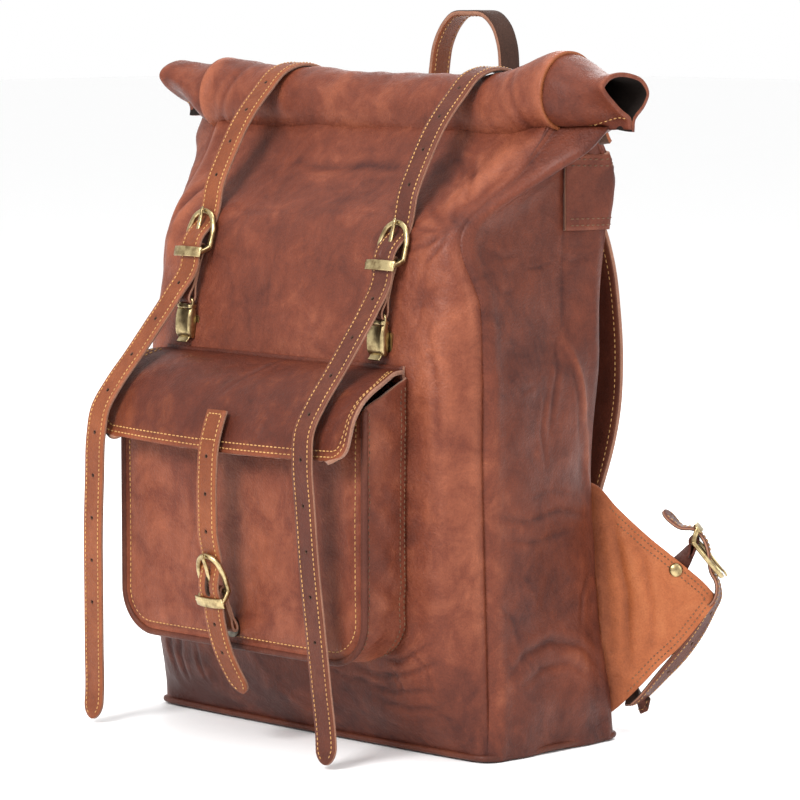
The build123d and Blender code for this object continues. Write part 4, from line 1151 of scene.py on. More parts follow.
def build_pocket():
    bits, dark_bits = Bits(), Bits()
    turn = np.linspace(0, pi / 2, 20)
    z = np.concatenate([POCKET_LOW + POCKET_CORNER * (1 - np.cos(turn)), np.linspace(102, POCKET_HIGH, 62)])
    half = np.where(z < POCKET_LOW + POCKET_CORNER,
                    POCKET_HALF - POCKET_CORNER + np.sqrt(np.clip(POCKET_CORNER ** 2
                                                                  - (POCKET_LOW + POCKET_CORNER - z) ** 2, 0, None)),
                    POCKET_HALF)
    share = np.linspace(-1, 1, 110)
    x = half[:, None] * share
    zz = np.broadcast_to(z[:, None], x.shape).copy()
    out, folds = pocket_bulge(x, zz)
    rim = np.minimum(half[:, None] - np.abs(x), zz - POCKET_LOW)
    out = out * smoothstep(0, 16, rim) - 1.6 * np.exp(-((rim - 4.6) / 1.7) ** 2)
    y = POCKET_FRONT - out
    points = np.dstack([x, y, zz])
    strip("pocket_front", points, 2.5, BODY, "bag", ["pocket_front"],
          wear_and_painted_light=wear_and_shade_from(folds) + 0.15)
    along = pocket_outline(7.6, 0.6, POCKET_HIGH - 4)
    bulge, _ = pocket_bulge(along[:, 0], along[:, 1])
    rim = 7.6
    bulge = bulge * smoothstep(0, 16, rim) - 1.6 * np.exp(-((rim - 4.6) / 1.7) ** 2)
    path = np.column_stack([along[:, 0], POCKET_FRONT - bulge - 0.05, along[:, 1]])
    stitches(bits, path, (0, -1, 0), pitch=3.8, length=2.6, radius=0.42)

    bead = pocket_outline(0.2, 2.0)
    path = np.column_stack([bead[:, 0], np.full(len(bead), POCKET_FRONT + 1.2), bead[:, 1]])
    verts, faces = tube(path, circle(2.5, 10), across=(0, 1, 0))
    make("pocket_piping", verts, faces, [DARK], "bag", ["pocket_piping"])

    line = pocket_outline(0.4, 2.0)
    depth = np.linspace(0, 1, 26)
    count = len(line)
    way = unit(np.gradient(line, axis=0))
    outward = np.stack([way[:, 1], -way[:, 0]], 1)
    back_y = front_y_at(line[:, 0], line[:, 1]) + 2.0
    grid = np.empty((count, len(depth), 3))
    grid[..., 0] = line[:, :1]
    grid[..., 1] = (POCKET_FRONT + 1.0) + (back_y[:, None] - POCKET_FRONT - 1.0) * depth[None]
    rise = 20.0 * smoothstep(POCKET_HIGH - 60, POCKET_HIGH, line[:, 1:2])
    grid[..., 2] = line[:, 1:2] + rise * depth[None] ** 0.75
    share = np.linspace(0, 1, count)[:, None]
    spots = grid.copy()
    belly = 2.2 * np.sin(pi * depth)[None] * (0.6 + 0.4 * np.sin(7 * share))
    wrinkle = 0.9 * ripple(spots, 30.0, 65) + 0.35 * ripple(spots, 12.0, 66)
    run = np.r_[0, np.cumsum(np.linalg.norm(np.diff(line, axis=0), axis=1))]
    corner_r = run[-1] - 175.0
    crumple = np.exp(-((run - corner_r) / 34.0) ** 2)[:, None] + np.exp(-((run - 175.0) / 34.0) ** 2)[:, None]
    fold = crumple * 1.5 * np.sin(run / 3.4 + 1.6 * ripple(spots, 60.0, 67).mean(axis=1))[:, None]
    fold = fold * np.sin(pi * np.clip(depth * 1.1, 0, 1))[None]
    height = (wrinkle + fold) * np.sin(pi * depth)[None] ** 0.6 + belly
    lip = -2.4 * np.exp(-((depth - 0.965) * 43 / 1.4) ** 2)[None]
    normals = np.zeros_like(grid)
    normals[..., 0] = outward[:, :1]
    normals[..., 2] = outward[:, 1:2]
    moved = grid + normals * (height + lip)[..., None]
    obj, moved, normals = strip("pocket_gusset", moved, 2.2, BODY, "bag",
                                ["pocket_gusset"], wear_and_painted_light=wear_and_shade_from(height * 0.3))
    rows = np.arange(2, count - 3, 0.3)
    for gap in (9.0, 4.8):
        at = np.full(len(rows), (len(depth) - 1) * (1 - gap / 43.0))
        stitches(dark_bits, sample(moved, rows, at), sample(normals, rows, at), pitch=3.8, length=2.6,
                 radius=0.42)
    at = np.full(len(rows), (len(depth) - 1) * 0.10)
    stitches(dark_bits, sample(moved, rows, at), sample(normals, rows, at), pitch=4.2, length=2.6, radius=0.40)
    bits.object("pocket_stitching", GOLD_THREAD, "bag", "tan_leather")
    dark_bits.object("gusset_stitching", BROWN_THREAD, "bag", "dark_leather")


def front_y_at(x, z):
    """Plain front surface of the bag at places x, z."""
    share = np.linspace(-1, 1, 161)
    found = []
    for px, pz in zip(np.asarray(x, float), np.asarray(z, float)):
        row = front_grid(np.array([pz]), share)[0]
        found.append(np.interp(px, row[:, 0], row[:, 1]))
    return np.array(found)


# ---- flap ---------------------------------------------------------------------------------------
FLAP_HALF = 127.0
FLAP_LINE = np.array([(-101.0, 268.6), (-112.0, 267.4), (-128.0, 261.5), (-141.0, 253.0), (-151.0, 241.5),
                      (-157.5, 227.5), (-161.0, 211.0)])


def build_flap():
    bits = Bits()
    profile = smooth_path(FLAP_LINE, 1.7)
    run = np.r_[0, np.cumsum(np.linalg.norm(np.diff(profile, axis=0), axis=1))]
    total = run[-1]
    x = np.linspace(FLAP_HALF, -FLAP_HALF, 150)
    grid = np.empty((len(profile), len(x), 3))
    corner = 11.0
    near_edge = np.clip((corner - (total - run)) / corner, 0, 1)
    pull = 1 - (corner / FLAP_HALF) * (1 - np.sqrt(1 - near_edge ** 2))
    pull = pull * (0.945 + 0.055 * smoothstep(0, 0.35, run / total))
    grid[..., 0] = x[None] * pull[:, None]
    grid[..., 1] = profile[:, :1]
    grid[..., 2] = profile[:, 1:2]
    down = (run / total)[:, None]
    end = np.clip(np.abs(x) / FLAP_HALF, 0, 1)[None]
    curl = 5.0 * smoothstep(0.86, 1.0, end) * np.sin(pi * np.clip(down * 1.15, 0, 1)) ** 1.2
    sag = -3.0 * (1 - end ** 2) * smoothstep(0.55, 1.0, down)
    right = smoothstep(0.90, 1.0, x / FLAP_HALF)[None]
    left = smoothstep(0.90, 1.0, -x / FLAP_HALF)[None]
    soft = 1.3 * ripple(grid, 90.0, 71) + 0.45 * ripple(grid, 33.0, 72) + 0.12 * ripple(grid, 12.0, 73)
    folds = crease(grid[..., 0], np.broadcast_to(run[:, None], grid.shape[:2]),
                   [(8, 2), (2, 30), (-12, 52)], 2.6, 0.7)
    folds = folds + crease(grid[..., 0], np.broadcast_to(run[:, None], grid.shape[:2]),
                           [(60, 20), (72, 34), (78, 58)], 3.0, 0.6)
    height = (soft + folds) * smoothstep(0, 0.25, down) + curl * (0.8 * right + 0.5 * left)
    grid[..., 2] += sag
    grid[..., 1] -= 2.0 * (1 - end ** 2) * smoothstep(0.6, 1.0, down)
    flare = 7.0 * smoothstep(0.45, 1.0, down) * (right + 0.7 * left)
    grid[..., 1] -= flare * 0.35
    grid[..., 2] += flare * 0.25
    _, moved, normals = strip("pocket_flap", grid, 3.0, FLAP, None, ["pocket_flap"],
                              lift=height, wear_and_painted_light=wear_and_shade_from(folds) + 0.9 * np.exp(-((1 - down) * total / 7) ** 2),
                              between=("bag", "flap", (0, -104.5, 267.0), (0, -116.0, 265.0)))
    columns = len(x) - 1
    for inset in (3.2, 7.2):
        row_low = np.interp(total - inset, run, np.arange(len(run)))
        step = FLAP_HALF * 2 / columns
        side_columns = inset / step
        rows = np.arange(5, row_low - 4, 0.4)
        path = np.concatenate([
            np.stack([rows, np.full(len(rows), side_columns)], 1),
            np.array([(row_low - 2.0, side_columns + 0.8), (row_low - 0.6, side_columns + 2.2)]),
            np.stack([np.full(int(columns * 2), row_low),
                      np.linspace(side_columns + 4.0, columns - side_columns - 4.0, int(columns * 2))], 1),
            np.array([(row_low - 0.6, columns - side_columns - 2.2), (row_low - 2.0, columns - side_columns - 0.8)]),
            np.stack([rows[::-1], np.full(len(rows), columns - side_columns)], 1),
        ])
        stitches(bits, sample(moved, path[:, 0], path[:, 1]), sample(normals, path[:, 0], path[:, 1]),
                 pitch=3.8, length=2.7, radius=0.45)
    bits.object("flap_stitching", GOLD_THREAD, "flap", "tan_leather")

    x = np.linspace(FLAP_HALF - 8, -FLAP_HALF + 8, 90)
    z = np.linspace(271, 258, 7)
    seam = np.empty((7, len(x), 3))
    seam[..., 0] = x[None]
    seam[..., 2] = z[:, None]
    seam[..., 1] = front_y_at(x, np.full(len(x), 268.0))[None] - 2.6
    strip("flap_seam", seam, 4.0, FLAP, "bag", ["flap_seam"],
          lift=0.6 * np.sin(np.linspace(0, pi, 7))[:, None])


build_pocket()
build_flap()


# ---- metal parts --------------------------------------------------------------------------------
class Place:
    """Local axes: u along, v outwards, w across."""

    def __init__(self, origin, ahead, axis=(1.0, 0.0, 0.0)):
        self.origin = np.asarray(origin, float)
        self.w = unit(axis)
        along = np.asarray(ahead, float) - self.origin
        self.reach = np.linalg.norm(along)
        self.u = unit(along - self.w * np.dot(along, self.w))
        self.v = np.cross(self.w, self.u)

    def at(self, points):
        """World points of (u, v, w) rows."""
        points = np.asarray(points, float)
        return (self.origin + points[..., :1] * self.u + points[..., 1:2] * self.v
                + points[..., 2:3] * self.w)


def chaikin(points, rounds=2):
    """Closed outline with its corners cut smooth."""
    points = np.asarray(points, float)
    for _ in range(rounds):
        ahead = np.roll(points, -1, axis=0)
        points = np.stack([0.75 * points + 0.25 * ahead, 0.25 * points + 0.75 * ahead], 1)
        points = points.reshape(-1, points.shape[-1])
    return points


def plate(bits, place, outline, low, high, bevel=0.35):
    """Flat part from a (u, v) outline between two w positions, its edges bevelled."""
    outline = np.asarray(outline, float)
    ahead, behind = np.roll(outline, -1, axis=0), np.roll(outline, 1, axis=0)
    way = unit(ahead - behind)
    inward = np.stack([-way[:, 1], way[:, 0]], 1)
    area = 0.5 * np.sum(outline[:, 0] * ahead[:, 1] - ahead[:, 0] * outline[:, 1])
    if area < 0:
        outline, inward = outline[::-1], -inward[::-1]
    rings = [(outline + inward * bevel, low), (outline, low + bevel), (outline, high - bevel),
             (outline + inward * bevel, high)]
    verts = [np.column_stack([ring, np.full(len(ring), w)]) for ring, w in rings]
    count = len(outline)
    faces = grid_faces(4, count, wrap=True)
    faces += [tuple(reversed(range(count))), tuple(3 * count + j for j in range(count))]
    bits.add(place.at(np.concatenate(verts)), faces)


def wire(bits, place, line, section, across, closed=False, step=1.0):
    """Bar swept along a (u, v, w) line in local axes."""
    path = smooth_path(line, step)
    if closed:
        path = path[:-1]
    world = place.at(path)
    side = across[0] * place.u + across[1] * place.v + across[2] * place.w
    verts, faces = tube(world, section, across=side, closed=closed)
    bits.add(verts, faces)


def metal(name, bits, body, stands_for, flip, material=None):
    verts, faces = np.concatenate(bits.verts), bits.faces
    if flip:
        verts, faces = flipped(verts, faces)
    return make(name, verts, faces, [material or BRASS], body, stands_for)


def buckle(name, place, body, stands_for, flip=False):
    """Arched frame, pin bar, and a bowed flat keeper in front of the strap."""
    bits = Bits()
    side, top = 12.3, place.reach + 0.2
    arch = [(0, 0, -side), (0.25 * top, 0, -side - 0.1), (0.5 * top, 0, -side), (top - 9.0, 0, -side + 1.2),
            (top - 4.0, 0, -8.6), (top - 0.9, 0, -4.2), (top, 0, 0), (top - 0.9, 0, 4.2),
            (top - 4.0, 0, 8.6), (top - 9.0, 0, side - 1.2), (0.5 * top, 0, side),
            (0.25 * top, 0, side + 0.1), (0, 0, side)]
    wire(bits, place, arch, rounded(3.2, 3.8, 1.3), (0, 1, 0))
    for w in (-side, side):
        wire(bits, place, [(2.0, -0.4, w), (0.0, 1.0, w), (-2.2, 3.6, w), (-3.9, 6.4, w * 0.99), (-5.0, 9.0, w * 0.97)],
             rounded(3.6, 3.4, 1.2), (0, 0, 1))
    keeper = [(-5.0, 8.1, -side - 1.2), (-5.0, 9.1, -side + 2.5), (-5.0, 9.7, 0), (-5.0, 9.1, side - 2.5),
              (-5.0, 8.1, side + 1.2)]
    wire(bits, place, keeper, rounded(7.2, 1.7, 0.6), (1, 0, 0))
    wire(bits, place, [(0, 0, -side), (0, 0, 0), (0, 0, side)], circle(1.75, 14), (1, 0, 0), step=3.0)
    return metal(name, bits, body, stands_for, flip)


def prong(name, place, body, stands_for, flip=False):
    """Tongue curled round the pin bar and resting over the arch."""
    bits = Bits()
    turn = np.linspace(0, 2 * pi, 22)
    eye = np.stack([2.65 * np.cos(turn), 2.65 * np.sin(turn), 0 * turn], 1)
    wire(bits, place, eye, rounded(3.4, 1.3, 0.4), (0, 0, 1), closed=True, step=0.8)
    line = [(1.4, 2.3, 0), (5.0, 3.0, 0), (0.45 * place.reach, 3.1, 0), (place.reach - 3, 3.1, 0),
            (place.reach, 3.4, 0), (place.reach + 2.8, 2.7, 0)]
    path = place.at(smooth_path(line, 1.2))
    share = np.interp(np.linspace(0, 1, len(path)), [0, 0.7, 0.94, 1.0], [1.0, 0.9, 0.72, 0.35])
    section = rounded(3.3, 1.9, 0.7)
    rings = np.repeat(section[None], len(path), 0)
    rings[:, :, 0] *= share[:, None]
    rings[:, :, 1] *= np.sqrt(share)[:, None]
    bits.add(*tube(path, rings, across=place.w))
    return metal(name, bits, body, stands_for, flip)


def chape(name, place, far, far_radius, leather_skin, body, stands_for, flip=False, thick=1.9,
          width=16.0, notch=True):
    """Leather turned round the pin bar and round a second bar at (u, v) = far, sewn to itself."""
    far = np.asarray(far, float)
    length = np.linalg.norm(far)
    ahead = far / length
    out = np.array([-ahead[1], ahead[0]])
    near_r, far_r = 1.9 + thick / 2, far_radius + thick / 2
    points = []
    base = atan2(ahead[1], ahead[0])
    for turn in np.linspace(base + pi * 0.62, base + pi * 1.38, 9):
        points.append((near_r * cos(turn), near_r * sin(turn)))
    gap = thick / 2 + 0.05
    points += [tuple(ahead * s * length - out * gap) for s in (0.30, 0.5, 0.70)]
    for turn in np.linspace(base - pi * 0.38, base + pi * 0.38, 7):
        points.append((far[0] + far_r * cos(turn), far[1] + far_r * sin(turn)))
    points += [tuple(ahead * s * length + out * gap) for s in (0.70, 0.5, 0.30)]
    points.append(points[0])
    path = smooth_path(np.array(points), 1.2)[:-1]
    world = place.at(np.column_stack([path, np.zeros(len(path))]))
    section = rounded(width, thick, 0.5)
    verts, faces = tube(world, section, across=place.w, closed=True)
    middle = np.array([section[j][0] for j in range(len(section))])
    after = np.roll(middle, -1)
    cut = (np.abs(middle) > width / 2 - 0.7) & (np.abs(after) > width / 2 - 0.7) & (middle * after > 0)
    kinds = [1 if cut[k % len(section)] else 0 for k in range(len(faces))]
    if flip:
        verts, faces = flipped(verts, faces)
    obj = make(name, verts, faces, [leather_skin, EDGE], None, (), face_slots=kinds,
               wear_and_painted_light=np.zeros(len(verts)))
    if notch:
        cutter = Bits()
        box = [(u, v, w) for w in (-2.5, 2.5) for v in (-5.5, 5.5) for u in (-7.0, 6.0)]
        verts = place.at(np.array(box))
        faces = [(0, 2, 3, 1), (4, 5, 7, 6), (0, 1, 5, 4), (2, 6, 7, 3), (0, 4, 6, 2), (1, 3, 7, 5)]
        if flip:
            verts, faces = flipped(verts, faces)
        cutter.add(verts, faces)
        punch(obj, cutter, FLESH)
    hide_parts(*stands_for)
    attach(obj, body)
    return obj


# ---- closure straps, clips and hanging tails ----------------------------------------------------
STRAP_WIDTH, STRAP_THICK = 19.0, 3.0
CLOSURE_X = 97.0
closure_place = Place((CLOSURE_X, -91.1, 340.5), (CLOSURE_X, -83.8, 366.0))
pocket_place = Place((-4.0, -159.4, 111.5), (-4.0, -168.6, 136.0))
PRONG_HOLE = 8.5          # the middle of the slot the prong comes through, above the pin bar
PRONG_SLOT = 11.0


def through(place):
    """Strap line through a buckle: behind the arch, over the pin bar and under the keeper."""
    local = [(place.reach, -4.6), (0.82 * place.reach, -3.9), (0.60 * place.reach, -0.6),
             (0.40 * place.reach, 3.4), (0.20 * place.reach, 6.0), (0.0, 6.6), (-5.0, 6.1)]
    return [tuple(place.at(np.array([(u, v, 0.0)]))[0]) for u, v in local]


TAIL_DRAPE = [
    (-111.0, 306.0), (-124.0, 288.0), (-140.0, 266.5), (-155.0, 247.5), (-165.5, 229.0), (-168.0, 210.0),
    (-167.0, 180.0), (-165.0, 140.0), (-161.5, 100.0), (-157.5, 55.0), (-154.5, 20.0), (-157.0, 2.8),
]


def closure(side):
    flip, tag = side < 0, side_name(side)
    skin = DARK if side > 0 else TAN
    slot = "dark_leather" if side > 0 else "tan_leather"
    body = f"closure_{tag}"
    bits = Bits()
    line = [(CLOSURE_X, 68.6, 372.0), (CLOSURE_X, 69.6, 390.0), (CLOSURE_X, 70.2, 405.0), (CLOSURE_X, 66.8, 421.0),
            (CLOSURE_X, 56.0, 438.0), (CLOSURE_X, 38.5, 455.5), (CLOSURE_X, 21.0, 466.5), (CLOSURE_X, 5.0, 468.6),
            (CLOSURE_X, -13.0, 463.5), (CLOSURE_X, -28.0, 450.5), (CLOSURE_X, -46.0, 432.0),
            (CLOSURE_X, -63.0, 406.0), (CLOSURE_X, -74.5, 384.0)]
    line += through(closure_place)
    strap = Strap(line, STRAP_WIDTH, STRAP_THICK)
    cutters = Bits()
    strap.hole(cutters, strap.length - 5.0 - PRONG_HOLE, 2.3, PRONG_SLOT)
    for k in range(5):
        strap.hole(cutters, strap.length - 62.0 - 27.0 * k, 1.35)
    strap.build(f"closure_strap_{tag}", skin, [f"closure_strap_{tag}"], flip=flip, cutters=cutters,
                between=("bag", body, (side * CLOSURE_X, 72, 395), (side * CLOSURE_X, 62, 412)))
    strap.stitch(bits, start=40.0, stop=strap.length - 1, pitch=3.3, length=2.2, flip=flip)
    bits.object(f"closure_stitching_{tag}", GOLD_THREAD, body, slot)

    buckle(f"closure_buckle_{tag}", closure_place, body, [f"closure_buckle_{tag}"], flip)
    prong(f"closure_prong_{tag}", closure_place, f"closure_prong_{tag}", [f"closure_prong_{tag}"], flip)

    clip_top = np.array([[CLOSURE_X, -101.6, 304.0]]) - closure_place.origin
    far = (float(clip_top[0] @ closure_place.u), float(clip_top[0] @ closure_place.v))
    chape(f"closure_chape_{tag}", closure_place, far, 1.5, DARK, body, [f"closure_chape_{tag}"],
          flip, thick=1.6, width=11.0)

    clip = Place((CLOSURE_X, -102.2, 288.0), (CLOSURE_X, -101.6, 304.0))
    shell = Bits()
    cheek = chaikin([(10.5, -2.6), (10.5, 2.4), (4.0, 4.1), (-4.0, 4.4), (-9.0, 3.2), (-11.6, 0.6), (-11.0, -2.4),
                     (-2.0, -3.2)], 2)
    for low in (-7.2, 6.0):
        plate(shell, clip, cheek, low, low + 1.2)
    face = [(9.4, 2.3, 0), (4.0, 3.7, 0), (-3.0, 4.1, 0), (-8.6, 3.0, 0), (-11.0, 0.9, 0)]
    wire(shell, clip, face, rounded(13.2, 1.1, 0.4), (0, 0, 1))
    collar = [(11.3, -2.3, -6.4), (11.3, 2.2, -6.4), (11.3, 2.6, 0), (11.3, 2.2, 6.4), (11.3, -2.3, 6.4),
              (11.3, -2.6, 0), (11.3, -2.3, -6.4)]
    wire(shell, clip, collar, rounded(2.6, 1.5, 0.5), (1, 0, 0), closed=True)
    top = clip.reach
    loop = [(10.5, 0, -5.6), (14.0, 0, -5.8), (top - 0.6, 0, -5.6), (top, 0, -4.6), (top, 0, 0), (top, 0, 4.6),
            (top - 0.6, 0, 5.6), (14.0, 0, 5.8), (10.5, 0, 5.6)]
    wire(shell, clip, loop, rounded(2.2, 2.8, 0.7), (0, 1, 0), step=0.7)
    metal(f"clip_body_{tag}", shell, body, [f"clip_body_{tag}"], flip)
    lever = Bits()
    thumb = [(1.0, 0.2, 0), (-4.0, 0.2, 0), (-8.5, 0.6, 0), (-11.8, 2.2, 0), (-14.0, 4.2, 0)]
    wire(lever, clip, thumb, rounded(10.6, 1.3, 0.5), (0, 0, 1))
    turn = np.linspace(0, 2 * pi, 16)
    eye = np.stack([1.85 * np.cos(turn), 1.85 * np.sin(turn), 0 * turn], 1)
    wire(lever, clip, eye, rounded(10.6, 0.9, 0.3), (0, 0, 1), closed=True, step=0.8)
    metal(f"clip_lever_{tag}", lever, f"clip_lever_{tag}", [f"clip_lever_{tag}"], flip)

    lean = (-7, 3) if side > 0 else (21, 44)
    start = np.array(through(closure_place)[-1])
    line = [tuple(start), tuple(closure_place.at(np.array([(-10.5, 4.6, 0)]))[0])]
    for y, z in TAIL_DRAPE:
        drop = (start[2] - z) / (start[2] - 229.0)
        shift = lean[0] * drop if drop < 1 else lean[0] + (lean[1] - lean[0]) * (229.0 - z) / 222.0
        line.append((CLOSURE_X + shift, y, z))
    bend = 2.2 if side > 0 else -2.8
    line[-1] = (line[-1][0] + bend, line[-1][1], line[-1][2] + 0.6)
    tail = Strap(line, STRAP_WIDTH, STRAP_THICK, tips=(False, True))
    cutters = Bits()
    for k in range(9):
        tail.hole(cutters, 24.0 + 31.0 * k, 1.35)
    tail.build(f"tail_{tag}", skin, [f"tail_{tag}"], flip=flip, cutters=cutters,
               between=(body, f"tail_{tag}", (side * CLOSURE_X, -99.0, 331), (side * CLOSURE_X, -117.0, 299)))
    bits = Bits()
    tail.stitch(bits, start=1.0, stop=tail.length - 3.5, pitch=3.3, length=2.2, flip=flip)
    rows = bits.object(f"tail_stitching_{tag}", GOLD_THREAD, None, slot)
    attach(rows, None, (body, f"tail_{tag}", (side * CLOSURE_X, -99.0, 331), (side * CLOSURE_X, -117.0, 299)))


for side in (1, -1):
    closure(side)


def build_flap_strap():
    bits = Bits()
    buckled = through(pocket_place)
    line = [(-4, -157.4, 236.0), (-4, -161.6, 226.0), (-4, -166.0, 211.0), (-4, -167.6, 194.0),
            (-4, -167.8, 166.0), (-4, -167.0, 149.0)] + buckled
    line += [(-3.6, -161.2, 92.0), (-2.6, -156.0, 72.0), (0.0, -148.0, 53.0), (2.4, -139.5, 38.0)]
    strap = Strap(line, STRAP_WIDTH, STRAP_THICK, tips=(False, True))
    pin = np.argmin(np.linalg.norm(strap.path - np.array(buckled[3]), axis=1))
    cutters = Bits()
    strap.hole(cutters, strap.at[pin] + 4.0, 2.3, PRONG_SLOT + 3.0)
    for k in range(3):
        strap.hole(cutters, strap.at[pin] - 33.0 - 26.0 * k, 1.35)
    for k in range(2):
        strap.hole(cutters, strap.at[pin] + 34.0 + 21.0 * k, 1.35)
    strap.build("flap_strap", TAN, ["flap_strap"], body="flap", cutters=cutters)
    strap.stitch(bits, start=3.0, stop=strap.length - 3.5, pitch=3.3, length=2.2)
    for at in (3.0, 21.0):
        points, out = strap.where(np.full(30, at), np.linspace(-6.5, 6.5, 30), 1.75)
        stitches(bits, points, out, pitch=3.2, length=2.2, radius=0.42)
    bits.object("flap_strap_stitching", GOLD_THREAD, "flap", "tan_leather")
    buckle("pocket_buckle", pocket_place, "flap", ["pocket_buckle"])
    prong("pocket_prong", pocket_place, "pocket_prong", ["pocket_prong"])
    low, high = box_mm("magnet_cap")
    middle = (low + high) / 2
    bar = np.array([middle[0], low[1] - 2.6, middle[2]]) - pocket_place.origin
    chape("pocket_chape", pocket_place, (float(bar @ pocket_place.u), float(bar @ pocket_place.v)), 0.6, TAN,
          "flap", ["pocket_chape"], thick=1.9, width=15.0)


build_flap_strap()


# ---- back: yoke, patches, handle and shoulder straps --------------------------------------------
def build_back():
    bits = Bits()
    z = np.linspace(358, 411, 22)
    rows = []
    for height in z:
        bx, by = level(np.array([height]))[0][6:]
        start = (CREASE_AT[0] + 0.4, CREASE_AT[1] + 0.6)
        ring = resample(np.array([start, (bx, by), (-bx, by), (-start[0], start[1])]), 1.0)
        for _ in range(8):
            ring[1:-1] = 0.5 * ring[1:-1] + 0.25 * (ring[2:] + ring[:-2])
        rows.append(ring)
    count = 230
    grid = np.empty((len(z), count, 3))
    for i, ring in enumerate(rows):
        run = np.r_[0, np.cumsum(np.linalg.norm(np.diff(ring, axis=0), axis=1))]
        even = np.linspace(0, run[-1], count)
        grid[i, :, 0] = np.interp(even, run, ring[:, 0])
        grid[i, :, 1] = np.interp(even, run, ring[:, 1])
        grid[i, :, 2] = z[i]
    height = 2.9 + 0.35 * ripple(grid, 40.0, 81) + 0.12 * ripple(grid, 14.0, 82)
    _, moved, normals = strip("back_yoke", grid, 3.0, BODY, "bag", ["back_yoke"], lift=height,
                              wear_and_painted_light=0.5 * np.exp(-((np.minimum(grid[..., 2] - 358, 411 - grid[..., 2])) / 3) ** 2))
    columns = np.arange(2.0, count - 3.0, 0.4)
    for gap in (3.4, 8.0, 45.0, 49.6):
        row = np.full(len(columns), gap / 53.0 * (len(z) - 1))
        stitches(bits, sample(moved, row, columns), sample(normals, row, columns), pitch=4.3, length=2.7,
                 radius=0.45)

    for name, low, high, left, right, face, skin, slot in (
            ("closure_patch_right", 370.5, 402.5, 86.5, 107.5, 71.2, BODY, "body_leather"),
            ("closure_patch_left", 370.5, 402.5, -107.5, -86.5, 71.2, BODY, "body_leather"),
            ("strap_patch", 366.0, 403.0, -84.0, 84.0, 72.2, BODY, "body_leather")):
        zz, xx = np.linspace(low, high, 14), np.linspace(right, left, int((right - left) / 2.5))
        sheet = np.empty((len(zz), len(xx), 3))
        sheet[..., 0], sheet[..., 1], sheet[..., 2] = xx[None], face, zz[:, None]
        _, moved, normals = strip(name, sheet, 4.2, skin, "bag", [name],
                                  lift=0.25 * ripple(sheet, 30.0, 83))
        loop = []
        for r0, c0, r1, c1 in ((1, 1, 1, -2), (1, -2, -2, -2), (-2, -2, -2, 1), (-2, 1, 1, 1)):
            r0, r1 = r0 % len(zz), r1 % len(zz)
            c0, c1 = c0 % len(xx), c1 % len(xx)
            loop += [(r0 + (r1 - r0) * t, c0 + (c1 - c0) * t) for t in np.linspace(0, 1, 80)]
        loop = np.array(loop)
        stitches(bits, sample(moved, loop[:, 0], loop[:, 1]), sample(normals, loop[:, 0], loop[:, 1]),
                 pitch=3.6, length=2.5, radius=0.42)
    bits.object("back_stitching", BROWN_THREAD, "bag", "dark_leather")


HANDLE_X = 7.0            # it sits a little to the right


def build_handle():
    half, top, y = 35.0, 506.0, 81.0
    line = [(-half, 75.5, 374.0), (-half, 77.5, 390.0), (-half, y, 408.0), (-half, y + 1, 440.0),
            (-half + 0.2, y + 3, 466.0), (-half + 3.2, y + 4, 484.0), (-half + 11.0, y + 5, 498.0),
            (-16.0, y + 5, 504.5), (0.0, y + 5, top)]
    line += [(-px, py, pz) for px, py, pz in reversed(line[:-1])]
    line = [(px + HANDLE_X, py, pz) for px, py, pz in line]
    handle = Strap(line, STRAP_WIDTH, 4.0, across=(0, -1, 0))
    # inner face darkened as painted shade
    handle.build("handle_strap", TAN, ["handle_strap"], under=PAINTED_SHADE_UNDERSIDE,
                 between=("bag", "handle", (HANDLE_X, y, 396), (HANDLE_X, y, 414)), crown=0.5)
    bits = Bits()
    handle.stitch(bits, start=34.0, stop=handle.length - 34.0, pitch=3.4, length=2.3)
    bits.object("handle_stitching", GOLD_THREAD, "handle", "tan_leather")


SHOULDER_LINE = [(66, 73.5, 381.0), (69, 75.5, 390.0), (76, 82.0, 391.5), (90, 92.0, 371.0), (104, 100.0, 330.0),
                 (111, 102.0, 285.0), (115, 97.0, 240.0), (118, 88.0, 200.0), (120.5, 80.0, 168.0)]


def build_shoulder(side):
    flip, tag = side < 0, side_name(side)
    strap = Strap(SHOULDER_LINE, 46.0, 5.0, tips=(False, False), step=3.0,
                  widths=([0, 0.06, 0.16, 0.5, 0.88, 1.0], [0.62, 0.72, 1.0, 1.0, 0.92, 0.62]))
    verts, faces, kinds, wear_and_painted_light = strap.mesh(crown=1.3, roll=1.0)
    if flip:
        verts, faces = flipped(verts, faces)
    obj = make(f"shoulder_strap_{tag}", verts, faces, [DARK, EDGE, DARK], "bag", [f"shoulder_strap_{tag}"],
               face_slots=kinds, wear_and_painted_light=wear_and_painted_light)
    bits = Bits()
    strap.stitch(bits, inset=4.0, start=10.0, stop=strap.length - 6, pitch=4.0, length=2.7, flip=flip)
    bits.object(f"shoulder_stitching_{tag}", GOLD_THREAD, "bag", "dark_leather")


build_back()
build_handle()
for side in (1, -1):
    build_shoulder(side)

# ---- side wings with their buckles --------------------------------------------------------------
WING_ORIGIN = np.array([153.5, 67.6, 100.0])
WING_LOW, WING_HIGH = np.array([164.0, 67.6, 22.0]), np.array([143.0, 67.6, 178.0])
WING_APEX = np.array([212.0, 114.0, 104.0])
WING_UP = unit(WING_HIGH - WING_LOW)
WING_OUT = WING_APEX - WING_ORIGIN
WING_OUT = unit(WING_OUT - WING_UP * np.dot(WING_OUT, WING_UP))
WING_FACE = np.cross(WING_OUT, WING_UP)
WING_TIP = 75.0


def wing_at(x, y, out=0.0):
    """World points of wing coordinates: outwards from the root, up it, and off its front face."""
    x, y, out = np.broadcast_arrays(np.asarray(x, float), np.asarray(y, float), np.asarray(out, float))
    return WING_ORIGIN + x[..., None] * WING_OUT + y[..., None] * WING_UP + out[..., None] * WING_FACE


